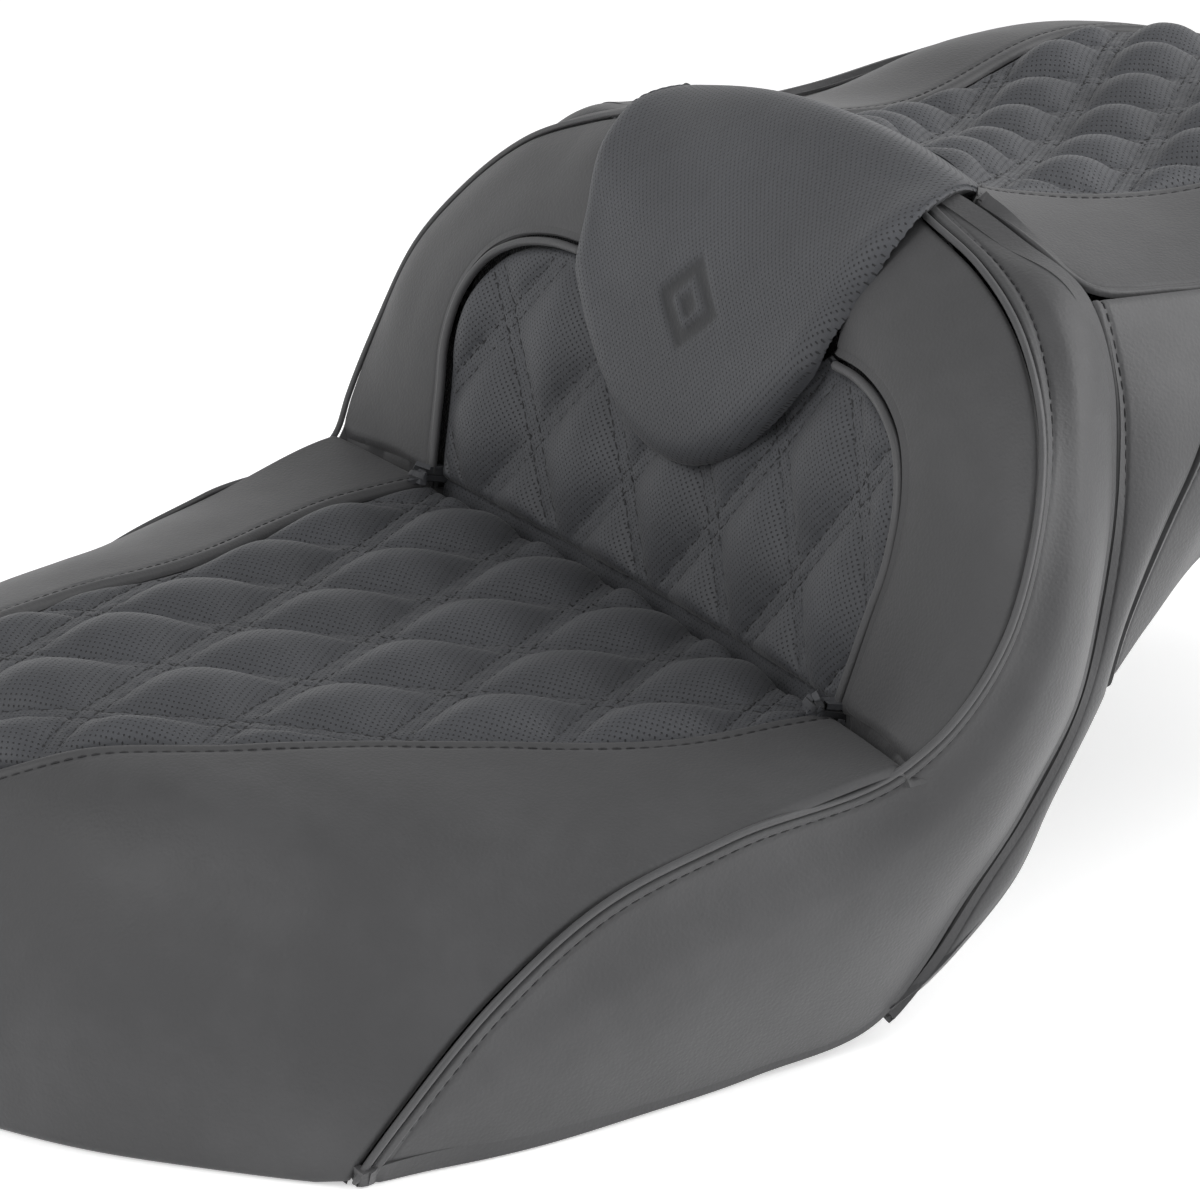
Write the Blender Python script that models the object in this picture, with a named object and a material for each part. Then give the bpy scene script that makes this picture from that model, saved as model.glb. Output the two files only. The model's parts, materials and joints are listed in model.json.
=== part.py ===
"""A two-up touring motorcycle seat: a stepped plastic pan, three foam blocks, sewn cover panels with
piping, and the hook, tab, screw and rubber feet that hold it to the motorcycle.

The shape is drawn in millimetres about the crease, where the rider's seat meets the backrest wall:
x to the rider's left, y to the rear, z up. BEHIND_CREASE and BELOW_CREASE move it to the part's origin.
"""

import math

import bmesh
import bpy
import numpy as np

MM = 0.001

# Driving dimensions, in millimetres.
HALF_WIDTH = 214.0        # half the crease's length, which sets the seat's width
NOSE_Y = -314.0           # the nose's foremost point
TAIL_Y = 430.0            # the cover's rearmost point
HEM_Z = -116.0            # the bottom edge of the front skirts
RIDGE_Z = 172.0           # the top of the backrest
WALL_LEAN = 0.27          # how far the backrest wall leans back per millimetre of height
WALL_ROLL = 28.0          # how far the wall rolls back at its outer seam
ARCH_WIDTH = 228.0        # half the wall's width at its widest
ARCH_SPRING = 41.0        # height of the wall's widest point
ARCH_RISE = 125.0         # height of the arch above that point
COVER = 2.4               # thickness of vinyl with its backing
COVER_GAP = 0.6           # between two cover panels that meet in a smooth seam
FOAM_INSET = 7.0          # from the cover's outer face to the foam
PIPING = 2.2              # radius of the piping
PAN = 4.0                 # thickness of the pan
TAB = 3.0                 # thickness of the steel plates
SCREW_Y = 450.0
TAB_TOP = 47.0
SCREW_RADIUS = 4.0
KNOB_RADIUS = 11.0
RIVET_RADIUS = 3.0
PLAY = 0.3                # between parts that touch

BEHIND_CREASE = 75.0      # the origin lies this far behind the crease
BELOW_CREASE = 116.0      # and this far below it

VINYL = (0.085, 0.085, 0.088)
QUILT_VINYL = (0.070, 0.072, 0.080)
FOAM_COLOUR = (0.55, 0.50, 0.36)


class Path:
    """A smooth curve through a few chosen points, read by its fraction of length, from 0 to 1."""

    def __init__(self, *points):
        self.points = np.array(points, float)
        steps = np.linalg.norm(np.diff(self.points, axis=0), axis=1)
        self.knots = np.concatenate([[0.0], np.cumsum(steps)]) / steps.sum()
        self.slopes = np.gradient(self.points, self.knots, axis=0)

    def at(self, fraction):
        fraction = np.clip(np.asarray(fraction, float), 0.0, 1.0)
        last = len(self.knots) - 2
        i = np.clip(np.searchsorted(self.knots, fraction, side="right") - 1, 0, last)
        span = self.knots[i + 1] - self.knots[i]
        u = ((fraction - self.knots[i]) / span)[..., None]
        span = span[..., None]
        start, end = self.points[i], self.points[i + 1]
        leave, arrive = self.slopes[i] * span, self.slopes[i + 1] * span
        return (start * (1 + 2 * u) * (1 - u) ** 2 + leave * u * (1 - u) ** 2
                + end * u * u * (3 - 2 * u) + arrive * u * u * (u - 1))


def smooth(value, low, high):
    """0 below low, 1 above high, and a smooth rise between."""
    u = np.clip((np.asarray(value, float) - low) / (high - low), 0.0, 1.0)
    return u * u * (3 - 2 * u)


def points(x, y, z):
    return np.stack(np.broadcast_arrays(x, y, z), axis=-1).astype(float)


# ---- The seat's surfaces -------------------------------------------------------------------------

SEAT_MIDDLE = Path((NOSE_Y, HEM_Z), (-312, -95), (-302, -66), (-288, -38), (-269, -14), (-247, -2),
                   (-197, 1), (-132, -3.6), (-65, -7), (24, -11))
SEAT_EDGE = Path((191, -200, HEM_Z), (199, -186, -92), (203, -151, -55), (203, -113, -31),
                 (206, -66, -16), (HALF_WIDTH, 0, 0))
SEAT_DISH = 9.0           # how far the rider's seat is dished across
SEAT_FALL = 3.0           # power of its fall towards the side seam


def ribs(middle, edge, dish, fall, side):
    """A surface of ribs that run from a middle line out to an edge line. side is -1 to 1."""
    across = np.abs(side)
    y = middle[..., 0] + (edge[..., 1] - middle[..., 0]) * across ** 2
    drop = edge[..., 2] - middle[..., 1] - dish
    z = middle[..., 1] + dish * across ** 2 + drop * across ** fall
    return points(side * edge[..., 0], y, z)


def seat(along, side):
    """The rider's seat: along runs from 0 at the nose to 1 at the crease."""
    dish = SEAT_DISH * smooth(along, 0.1, 0.6)
    return ribs(SEAT_MIDDLE.at(along), SEAT_EDGE.at(along), dish, SEAT_FALL, side)


PILLION_MIDDLE = Path((98, RIDGE_Z), (112, 166), (132, 157), (165, 149), (205, 146), (245, 149),
                      (285, 154), (320, 156), (360, 152), (398, 144), (421, 132), (TAIL_Y, 116))
PILLION_EDGE = Path((96, 101, 160), (132, 104, 149), (157, 110, 135), (160, 145, 130),
                    (163, 205, 131), (168, 255, 137), (171, 300, 141), (168, 340, 138),
                    (160, 372, 129), (146, 390, 116))


def pillion(along, side):
    """The passenger's seat: along runs from 0 at the ridge to 1 at the tail."""
    dish = 14.0 * smooth(along, 0.35, 0.6) * (1 - smooth(along, 0.75, 0.95))
    fall = 3.5 + 3.0 * smooth(along, 0.3, 0.6)
    return ribs(PILLION_MIDDLE.at(along), PILLION_EDGE.at(along), dish, fall, side)


def along_at(surface, x, y):
    """Finds the along and side values of a surface at a place seen from above."""
    x, y = np.broadcast_arrays(np.asarray(x, float), np.asarray(y, float))
    edge_line = SEAT_EDGE if surface is seat else PILLION_EDGE
    low, high = np.zeros(x.shape), np.ones(x.shape)
    for _ in range(30):
        half = (low + high) / 2
        short = surface(half, x / edge_line.at(half)[..., 0])[..., 1] < y
        low, high = np.where(short, half, low), np.where(short, high, half)
    return half, x / edge_line.at(half)[..., 0]


def wall(x, z):
    """The backrest wall, over its width and height."""
    foot = -11 + 11 * (x / HALF_WIDTH) ** 2
    below = np.clip((ARCH_SPRING - z) / ARCH_SPRING, 0, 1)
    outer = ARCH_WIDTH - 14 * below ** 2
    radius = np.hypot(x / outer, np.clip(z - ARCH_SPRING, 0, None) / ARCH_RISE)
    strength = smooth(z, -25, 70) * (0.5 + 0.5 * smooth(np.abs(x), 70, 130))
    roll = WALL_ROLL * strength * np.clip((radius - 0.72) / 0.28, 0, None) ** 2
    y = 24 - 24 * (x / HALF_WIDTH) ** 2 + WALL_LEAN * (z - foot) + roll
    return points(x, y, z)


TONGUE_MIDDLE = Path((38, 41), (40, 60), (47, 85), (55, 110), (65, 132), (77, 152), (98, 168), (113, 163))
TONGUE_EDGE = Path((80, 47, 94), (84, 50, 105), (90, 60, 124), (95, 70, 142), (97, 81, 156), (92, 99, 161),
                   (88, 113, 155))


def tongue(along, side, lift):
    """The raised panel in the middle of the backrest, from its rounded lower end over the ridge."""
    middle, edge = TONGUE_MIDDLE.at(along), TONGUE_EDGE.at(along)
    z = middle[..., 1] + (edge[..., 2] - middle[..., 1]) * side ** 2
    y = middle[..., 0] + (edge[..., 1] - middle[..., 0]) * side ** 2
    base = points(side * edge[..., 0], y, z)
    puff = smooth(along, -0.03, 0.2) * (1 - side ** 6) * (1 - 0.7 * smooth(along, 0.75, 1.0))
    forward, up = -np.cos(along * 1.25), np.sin(along * 1.25)
    return base + points(0, forward, up) * (lift * puff + 3.0)[..., None]


def patch(top, bottom, front, rear, along, down, bulge):
    """A surface stretched over four edge lines, pushed out by bulge millimetres in the middle."""
    a, d = along[..., None], down[..., None]
    lines = top.at(along) * (1 - d) + bottom.at(along) * d + front.at(down) * (1 - a) + rear.at(down) * a
    corners = ((top.at(0.0) * (1 - a) + top.at(1.0) * a) * (1 - d)
               + (bottom.at(0.0) * (1 - a) + bottom.at(1.0) * a) * d)
    push = bulge * 16 * along * (1 - along) * down * (1 - down)
    return lines - corners + points(push, 0, 0)


# The main seam: from the front corner along the seat, and up round the edge of the backrest wall.
MAIN_SEAM = Path((191, -200, HEM_Z), (199, -186, -92), (203, -151, -55), (203, -113, -31), (206, -66, -16),
                 (214, 0, 0), (221, 9, 12), (227, 27, 41), (221, 43, 75), (203, 58, 102), (175, 70, 125),
                 (133, 80, 144), (96, 82, 156))
# The rider side panel's other edge: along the hem, up the seam behind the shoulder, and over to the ridge.
REAR_SEAM = Path((190.5, -197, HEM_Z), (195, -150, HEM_Z), (195, -100, HEM_Z), (191, -45, -115), (190, 6, -107),
                 (190, 26, -89), (193, 42, -64), (197, 60, -36), (198, 80, 0), (194, 92, 36), (187, 101, 78),
                 (178, 105, 108), (163, 105, 133), (132, 102, 150), (100, 98, 161))
SIDE_TOP = Path((162, 173, 128), (164, 205, 130), (169, 255, 136), (172, 300, 140), (169, 340, 137),
                (161, 373, 128), (147, 391, 115))
SIDE_FRONT = Path((163, 108, 133), (179, 107, 108), (189, 103, 78), (196, 94, 36), (200, 82, 0), (199, 62, -36),
                  (195, 44, -64), (192, 28, -89), (191, 9, -107))
MIDDLE_SEAM = Path((162, 173, 128), (178, 155, 106), (187, 139, 82), (190, 123, 58), (190, 115, 41),
                   (189, 106, 17), (187, 101, -4))
MIDDLE_HEM = Path((187, 101, -4), (190, 80, -35), (191, 62, -66), (191, 38, -88), (191, 10, -107))
SIDE_HEM = Path((187, 101, -4), (180, 126, 14), (172, 150, 30), (166, 185, 43), (163, 240, 50), (164, 310, 51),
                (158, 360, 53), (143, 396, 55))
SIDE_REAR = Path((147, 391, 115), (150, 398, 86), (143, 396, 55))
TAIL_TOP = Path((147, 391, 115), (100, 412, 116), (50, 426, 116), (0, TAIL_Y, 116))
TAIL_HEM = Path((143, 396, 55), (98, 414, 56), (50, 426, 57), (0, TAIL_Y, 57))
TAIL_MIDDLE = Path((0, TAIL_Y, 116), (0, TAIL_Y + 3, 86), (0, TAIL_Y, 57))


def rider_side(along, down):
    """The large side panel, ruled from the main seam to its hem and rear seam, and bulged."""
    top, bottom = MAIN_SEAM.at(along), REAR_SEAM.at(along)
    base = top + (bottom - top) * down[..., None]
    push = 13 * np.sin(math.pi * down) * smooth(down, 0.0, 0.35)
    push = push * smooth(along, 0.0, 0.35) * (1 - 0.9 * smooth(along, 0.8, 1.0))
    climb = smooth(along, 0.62, 0.95)
    return base + points(push * (1 - climb), 0.3 * push * climb, push * climb)


def middle_side(along, down):
    """From the seam behind the shoulder back to the middle seam and, below that, to the hem."""
    a = along[..., None]
    back = np.where(down[..., None] < 0.5, MIDDLE_SEAM.at(down * 2), MIDDLE_HEM.at(down * 2 - 1))
    return SIDE_FRONT.at(down) * (1 - a) + back * a + points(80 * along * (1 - along) * down * (1 - down), 0, 0)


def pillion_side(along, down):
    return patch(SIDE_TOP, SIDE_HEM, MIDDLE_SEAM, SIDE_REAR, along, down, 5.0)


def tail(along, down):
    return patch(TAIL_TOP, TAIL_HEM, SIDE_REAR, TAIL_MIDDLE, along, down, 0.0)


# Outlines of the quilted panels: the two seats from above, and half the wall's from the front.
SEAT_QUILT = Path((0, -283), (22, -276), (43, -256), (61, -227), (77, -197), (89, -165), (100, -132),
                  (114, -100), (130, -71), (143, -40), (147, -8), (150, 12))
PILLION_QUILT = Path((85, 114), (78, 135), (78, 165), (82, 198), (95, 250), (106, 300), (107, 340),
                     (92, 376), (55, 400), (0, 408))
WING = Path((150, -4), (156, 28), (160, 50), (157, 69), (146, 85), (130, 94), (110, 98.5), (86, 99))
UNDER_TONGUE = Path((86, 99), (72, 88), (48, 68), (24, 60), (0, 57))


# ---- Making solids --------------------------------------------------------------------------------

def material(name, colour, roughness, metallic=0.0):
    made = bpy.data.materials.new(name)
    made.use_nodes = True
    shader = made.node_tree.nodes["Principled BSDF"]
    shader.inputs["Base Color"].default_value = (*colour, 1.0)
    shader.inputs["Roughness"].default_value = roughness
    shader.inputs["Metallic"].default_value = metallic
    made.diffuse_color = (*colour, 1.0)
    return made


def add_object(name, mesh, made_of):
    mesh.materials.append(made_of)
    piece = bpy.data.objects.new(name, mesh)
    bpy.context.scene.collection.objects.link(piece)
    return piece


def to_part(place):
    """From millimetres about the crease to metres about the part's origin."""
    return (np.asarray(place, float) + (0, -BEHIND_CREASE, BELOW_CREASE)) * MM


def grid_normals(grid):
    """The unit normal at each point of a grid of points, from the faces around it."""
    across = grid[1:, 1:] - grid[:-1, :-1]
    other = grid[:-1, 1:] - grid[1:, :-1]
    faces = np.cross(across, other)
    total = np.zeros(grid.shape)
    for rows in (slice(0, -1), slice(1, None)):
        for columns in (slice(0, -1), slice(1, None)):
            total[rows, columns] += faces
    return total / np.linalg.norm(total, axis=-1, keepdims=True)


def grid_solid(name, face, back, made_of):
    """A closed solid between two grids of the same size: its face, and its back behind it."""
    rows, columns = face.shape[:2]
    mesh = bmesh.new()
    sheets = []
    for grid in (face, back):
        corners = to_part(grid.reshape(-1, 3))
        sheets.append([mesh.verts.new(corner) for corner in corners])

    def corner(sheet, row, column):
        return sheets[sheet][row * columns + column]

    for row in range(rows - 1):
        for column in range(columns - 1):
            around = ((row, column), (row + 1, column), (row + 1, column + 1), (row, column + 1))
            mesh.faces.new([corner(0, *place) for place in around])
            mesh.faces.new([corner(1, *place) for place in reversed(around)])
    rim = [(0, column) for column in range(columns)]
    rim += [(row, columns - 1) for row in range(1, rows)]
    rim += [(rows - 1, column) for column in reversed(range(columns - 1))]
    rim += [(row, 0) for row in reversed(range(1, rows - 1))]
    for start, end in zip(rim, rim[1:] + rim[:1]):
        mesh.faces.new((corner(0, *start), corner(0, *end), corner(1, *end), corner(1, *start)))
    bmesh.ops.recalc_face_normals(mesh, faces=mesh.faces)
    bmesh.ops.triangulate(mesh, faces=mesh.faces)
    data = bpy.data.meshes.new(name)
    mesh.to_mesh(data)
    mesh.free()
    data.shade_smooth()
    data.set_sharp_from_angle(angle=math.radians(40))
    return add_object(name, data, made_of)


def behind(grid, depth, outward):
    """The grid moved inward by depth, where outward says roughly which way is out."""
    normals = grid_normals(grid)
    if np.sum(normals * np.array(outward, float)) < 0:
        normals = -normals
    return grid - normals * depth


def cover_panel(name, grid, outward, made_of):
    grid_solid(name, grid, behind(grid, COVER, outward), made_of)


def mirrored(grid):
    return grid * (-1, 1, 1)


def both_sides(name, grid, outward, made_of):
    """The left panel and its mirror image."""
    cover_panel(name + "_left", grid, outward, made_of)
    cover_panel(name + "_right", mirrored(grid), np.array(outward) * (-1, 1, 1), made_of)


def mesh_grid(rows, columns):
    """Two arrays that run over rows and columns."""
    return np.meshgrid(np.asarray(rows, float), np.asarray(columns, float), indexing="ij")


def between(inner, outer, count):
    """A grid of count rows of points between two lines of points."""
    share = np.linspace(0, 1, count)[:, None, None]
    return inner[None] * (1 - share) + outer[None] * share


def piping(name, line, made_of):
    """A round cord along a line of points."""
    curve = bpy.data.curves.new(name, "CURVE")
    curve.dimensions = "3D"
    curve.bevel_depth = PIPING * MM
    curve.bevel_resolution = 1
    curve.use_fill_caps = True
    spline = curve.splines.new("POLY")
    spline.points.add(len(line) - 1)
    for point, place in zip(spline.points, to_part(line)):
        point.co = (*place, 1.0)
    piece = add_object(name, curve, made_of)
    return piece


def block(name, low, high, made_of):
    """A box between two corners, in millimetres about the crease."""
    low, high = to_part(low), to_part(high)
    bpy.ops.mesh.primitive_cube_add(size=1.0, location=(low + high) / 2)
    piece = bpy.context.object
    piece.scale = high - low
    bpy.ops.object.transform_apply(location=False, rotation=False, scale=True)
    piece.name = name
    piece.data.materials.append(made_of)
    return piece


def turned(name, centre, profile, made_of, sides=24):
    """A solid turned about a vertical axis through centre, from a list of (radius, height)."""
    mesh = bmesh.new()
    rings = []
    for radius, height in profile:
        ring = []
        for step in range(sides):
            angle = 2 * math.pi * step / sides
            place = (centre[0] + radius * math.cos(angle), centre[1] + radius * math.sin(angle), height)
            ring.append(mesh.verts.new(to_part(place)))
        rings.append(ring)
    for lower, upper in zip(rings, rings[1:]):
        for step in range(sides):
            after = (step + 1) % sides
            mesh.faces.new((lower[step], lower[after], upper[after], upper[step]))
    mesh.faces.new(rings[0])
    mesh.faces.new(rings[-1])
    bmesh.ops.recalc_face_normals(mesh, faces=mesh.faces)
    data = bpy.data.meshes.new(name)
    mesh.to_mesh(data)
    mesh.free()
    data.shade_smooth()
    data.set_sharp_from_angle(angle=math.radians(40))
    return add_object(name, data, made_of)


def drill(piece, centre, radius, low, high):
    """Cuts a round vertical hole through a piece."""
    cutter = turned("cutter", centre, [(radius, low), (radius, high)], piece.data.materials[0], 12)
    cutter.hide_render = True
    cutter.display_type = "WIRE"
    hole = piece.modifiers.new("hole", "BOOLEAN")
    hole.operation = "DIFFERENCE"
    hole.object = cutter


# ---- Cover ------------------------------------------------------------------------------------------

def seat_outline(outline, count, surface):
    """A quilt's outline, as along and side values on its surface."""
    plan = outline.at(np.linspace(0.0, 1.0, count))
    return np.stack(along_at(surface, plan[:, 0], plan[:, 1]), axis=-1)


def rider_quilt_panel(vinyl):
    share = np.linspace(0.1, 1.0, 15)
    plan = SEAT_QUILT.at(share)
    _, side = mesh_grid(share, np.linspace(-1, 1, 11))
    x = side * (plan[:, None, 0] - COVER_GAP)
    y = np.broadcast_to(plan[:, None, 1], side.shape)
    crease = 24 - 24 * (x / HALF_WIDTH) ** 2 - PLAY * 8
    y = y + (crease - plan[-1, 1]) * np.clip((share[:, None] - 0.75) / 0.25, 0, 1)
    cover_panel("rider_quilt_panel", seat(*along_at(seat, x, np.minimum(y, crease))), (0, 0, 1), vinyl)


def u_shaped_panel(name, surface, quilt, quilt_range, outer, vinyl, rows=5):
    """The plain panel that goes round a quilted one, from one side through the end to the other."""
    plan = quilt.at(np.linspace(*quilt_range, len(outer)))
    inner = np.stack(along_at(surface, plan[:, 0] + COVER_GAP, plan[:, 1]), axis=-1)
    inner[-1, 1] = 0.0
    half = between(inner, outer, rows)
    whole = np.concatenate([half, half[:, -2::-1] * (1, -1)], axis=1)
    cover_panel(name, surface(whole[..., 0], whole[..., 1]), (0, 0, 1), vinyl)


def rider_top_panel(vinyl):
    """Plain panel round the rider's quilt: down each side and across the nose."""
    side_run = [(value, 0.965) for value in np.linspace(0.985, 0.09, 14)]
    nose_run = [(0.004, value) for value in np.linspace(0.93, 0.0, 9)]
    u_shaped_panel("rider_top_panel", seat, SEAT_QUILT, (0.985, 0.0), np.array(side_run + nose_run), vinyl)


def pillion_top_panel(vinyl):
    """Plain panel round the passenger's quilt: down each side and across the tail."""
    side_run = [(value, 0.975) for value in np.linspace(0.13, 0.94, 14)]
    tail_run = [(0.975, value) for value in np.linspace(0.93, 0.0, 8)]
    u_shaped_panel("pillion_top_panel", pillion, PILLION_QUILT, (0.02, 1.0), np.array(side_run + tail_run),
                   vinyl)


def pillion_quilt_panel(vinyl):
    share = np.linspace(0.04, 0.905, 15)
    plan = PILLION_QUILT.at(share)
    _, side = mesh_grid(share, np.linspace(-1, 1, 9))
    x = side * (plan[:, None, 0] - COVER_GAP)
    y = np.broadcast_to(plan[:, None, 1], side.shape)
    cover_panel("pillion_quilt_panel", pillion(*along_at(pillion, x, y)), (0, 0, 1), vinyl)


def backrest_quilt_panel(vinyl):
    """The quilted panel at the foot of the wall, with an arched wing to each side of the tongue."""
    wing, middle = WING.at(np.linspace(0.06, 1, 9)), UNDER_TONGUE.at(np.linspace(0.2, 1, 5))
    top = np.concatenate([wing, middle]) - (COVER_GAP, 0)
    top[-1, 0] = 0.0
    foot_x = np.linspace(149, 0, len(top))
    foot = np.stack([foot_x, -11 + 11 * (foot_x / HALF_WIDTH) ** 2 + 4], axis=-1)
    half = between(foot, top, 7)
    half[:, :, 1] = np.maximum(half[:, :, 1], foot[None, :, 1])
    whole = np.concatenate([half, half[:, -2::-1] * (-1, 1)], axis=1)
    cover_panel("backrest_quilt_panel", wall(whole[..., 0], whole[..., 1]), (0, -1, 0), vinyl)


def backrest_bolsters(vinyl):
    """Plain panels between each wing and the main seam."""
    share = np.linspace(0.09, 1, 15)
    inner = WING.at(share) + (3.2, 2.2)
    inner[-1] = (89.5, 103)
    outer = []
    for along in np.linspace(0.47, 0.985, len(share)):
        x, _, z = MAIN_SEAM.at(along)
        outer.append((x, z))
    centre = np.array((140.0, 45.0))
    outer = np.array(outer)
    outer += (centre - outer) / np.linalg.norm(centre - outer, axis=-1, keepdims=True) * 5.5
    outer[-1] = (100.5, 146)
    grid = between(inner, outer, 5)
    both_sides("backrest_bolster", wall(grid[..., 0], grid[..., 1]), (0, -1, 0), vinyl)


def backrest_tongue(vinyl, foam):
    along, side = mesh_grid(np.linspace(0, 1, 13), np.linspace(-1, 1, 11))
    cover_panel("backrest_tongue_panel", tongue(along, side, 9.0), (0, -1, 0.5), vinyl)
    along, side = mesh_grid(np.linspace(0.1, 0.72, 9), np.linspace(-0.84, 0.84, 9))
    face = behind(tongue(along, side, 9.0), COVER + 1.0, (0, -1, 0.5))
    grid_solid("backrest_tongue_pad", face, behind(face, 3.0, (0, -1, 0.5)), foam)


def side_panels(vinyl):
    along, down = mesh_grid(np.linspace(0.045, 0.985, 27), np.linspace(0.0, 1.0, 6))
    height = np.linalg.norm(MAIN_SEAM.at(along) - REAR_SEAM.at(along), axis=-1)
    margin = 3.4 / height
    both_sides("rider_side_panel", rider_side(along, margin + (1 - 1.5 * margin) * down), (1, 0, 0), vinyl)
    along, down = mesh_grid(np.linspace(0.0, 0.99, 6), np.linspace(0.02, 0.97, 20))
    both_sides("middle_side_panel", middle_side(along, down), (1, 0, 0), vinyl)
    along, down = mesh_grid(np.linspace(0.004, 0.99, 12), np.linspace(0.025, 1.0, 9))
    both_sides("pillion_side_panel", pillion_side(along, down), (1, 0, 0), vinyl)


def tail_panel(vinyl):
    along, down = mesh_grid(np.linspace(0.02, 1, 8), np.linspace(0.08, 1, 4))
    half = tail(along, down)
    whole = np.concatenate([half, mirrored(half[-2::-1])])
    cover_panel("tail_panel", whole, (0, 1, 0), vinyl)


def piping_runs(vinyl):
    """Piping in the main seam, and along the top of each quilted wing."""
    seam = MAIN_SEAM.at(np.linspace(0.03, 0.985, 40))
    centre = np.array((0.0, 30.0, 0.0))
    seam = seam + (seam - centre) / np.linalg.norm(seam - centre, axis=-1, keepdims=True) * 1.2
    wing = WING.at(np.linspace(0.1, 0.97, 18)) + (1.4, 0.8)
    wing = wall(wing[:, 0], wing[:, 1]) + (0, -2.6, 0)
    for name, flip in (("left", 1), ("right", -1)):
        piping("main_seam_piping_" + name, seam * (flip, 1, 1), vinyl)
        piping("wing_piping_" + name, wing * (flip, 1, 1), vinyl)


# ---- Foam and pan -------------------------------------------------------------------------------------

PAN_MIDDLE = Path((-302, -104), (-150, -104), (-45, -104), (-12, -103), (22, -97), (60, -66), (80, -34),
                  (100, -3), (135, 27), (172, 44), (225, 50), (320, 52), (418, 54))
PAN_EDGE = Path((176, -196), (183, -150), (184, -45), (184, -12), (181, 22), (180, 60), (177, 98), (170, 135),
                (162, 172), (155, 225), (155, 320), (136, 384))


def pan_height(y):
    """Height of the pan's top face at each distance from the crease."""
    line = PAN_MIDDLE.at(np.linspace(0, 1, 200))
    return np.interp(y, line[:, 0], line[:, 1])


def pan(along, side):
    """The pan's top face, with a raised channel along its middle."""
    middle, edge = PAN_MIDDLE.at(along), PAN_EDGE.at(along)
    y = middle[..., 0] + (edge[..., 1] - middle[..., 0]) * side ** 2
    channel = 6 * (1 - smooth(np.abs(side), 0.18, 0.36)) * smooth(along, 0.15, 0.22)
    z = pan_height(y) + channel * (1 - smooth(along, 0.86, 0.92))
    return points(side * edge[..., 0], y, z)


def base_pan(plastic):
    along, side = mesh_grid(np.linspace(0, 1, 23), np.linspace(-1, 1, 13))
    face = pan(along, side)
    return grid_solid("base_pan", face, behind(face, PAN, (0, 0, 1)), plastic)


def pan_slope(z):
    """How far behind the crease the pan's rise is, at each height."""
    line = PAN_MIDDLE.at(np.linspace(0.35, 0.7, 100))
    return np.interp(z, line[:, 1], line[:, 0])


def foam_blocks(foam):
    """The rider's, backrest's and passenger's foam, between the cover and the pan."""
    along, side = mesh_grid(np.linspace(0.2, 0.95, 13), np.linspace(-0.9, 0.9, 11))
    face = behind(seat(along, side), FOAM_INSET, (0, 0, 1))
    back = face * (0.98, 1, 0)
    back[..., 2] = np.maximum(-94, pan_height(face[..., 1]) + 12)
    grid_solid("rider_foam", face, back, foam)

    level, side = mesh_grid(np.linspace(-60, 148, 12), np.linspace(-1, 1, 11))
    reach = np.clip((level - ARCH_SPRING) / (ARCH_RISE + 3), 0, 1)
    half = 178 * np.sqrt(1 - reach ** 2) - 6 * smooth(-level, 0, 60)
    x = side * half
    face = wall(x, np.maximum(level, -4)) + (0, FOAM_INSET + 3, 0)
    face[..., 2] = level
    back = points(x * 0.97, np.minimum(92, pan_slope(level) - 18), level)
    grid_solid("backrest_foam", face, back, foam)

    along, side = mesh_grid(np.linspace(0.09, 0.94, 15), np.linspace(-0.9, 0.9, 11))
    face = behind(pillion(along, side), FOAM_INSET, (0, 0, 1))
    back = face * (0.97, 1, 0)
    back[..., 2] = pan_height(face[..., 1]) + 9
    grid_solid("pillion_foam", face, back, foam)


# ---- Fixings ------------------------------------------------------------------------------------------

def rivets(pieces, row, low, high, steel):
    """Flanged rivets through a plate and the pan, in holes of their own."""
    for name, x, y in row:
        for piece in pieces:
            drill(piece, (x, y), RIVET_RADIUS + PLAY, low - 30, high + 30)
        head = RIVET_RADIUS * 1.9
        profile = [(head * 0.6, low - 2.2), (head, low - 1.2), (head, low - PLAY), (RIVET_RADIUS, low - PLAY),
                   (RIVET_RADIUS, high + PLAY), (head, high + PLAY), (head, high + 1.2), (head * 0.6, high + 2)]
        turned(name, (x, y), profile, steel, 12)


def front_hook(pan_piece, steel):
    """The steel plate under the nose whose folded tongue hooks under the frame's cross rail."""
    under = -104 - PAN
    low = under - PLAY - TAB
    plate = block("front_hook_plate", (-45, -262, low), (45, -205, under - PLAY), steel)
    step = block("hook_step", (-25, -268, low - TAB - 1.5), (25, -262.5 + TAB, low + TAB - 0.4), steel)
    tongue_plate = block("hook_tongue", (-25, -300, low - TAB - 1.6), (25, -266, low - 1.7), steel)
    for added in (step, tongue_plate):
        added.hide_render = True
        added.display_type = "WIRE"
        joint = plate.modifiers.new(added.name, "BOOLEAN")
        joint.operation = "UNION"
        joint.object = added
    row = [("hook_rivet_left", 30, -232), ("hook_rivet_right", -30, -232)]
    for _, x, y in row:
        drill(plate, (x, y), RIVET_RADIUS + PLAY, low - 5, under + 30)
    rivets([pan_piece], row, low, -104, steel)


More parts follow.
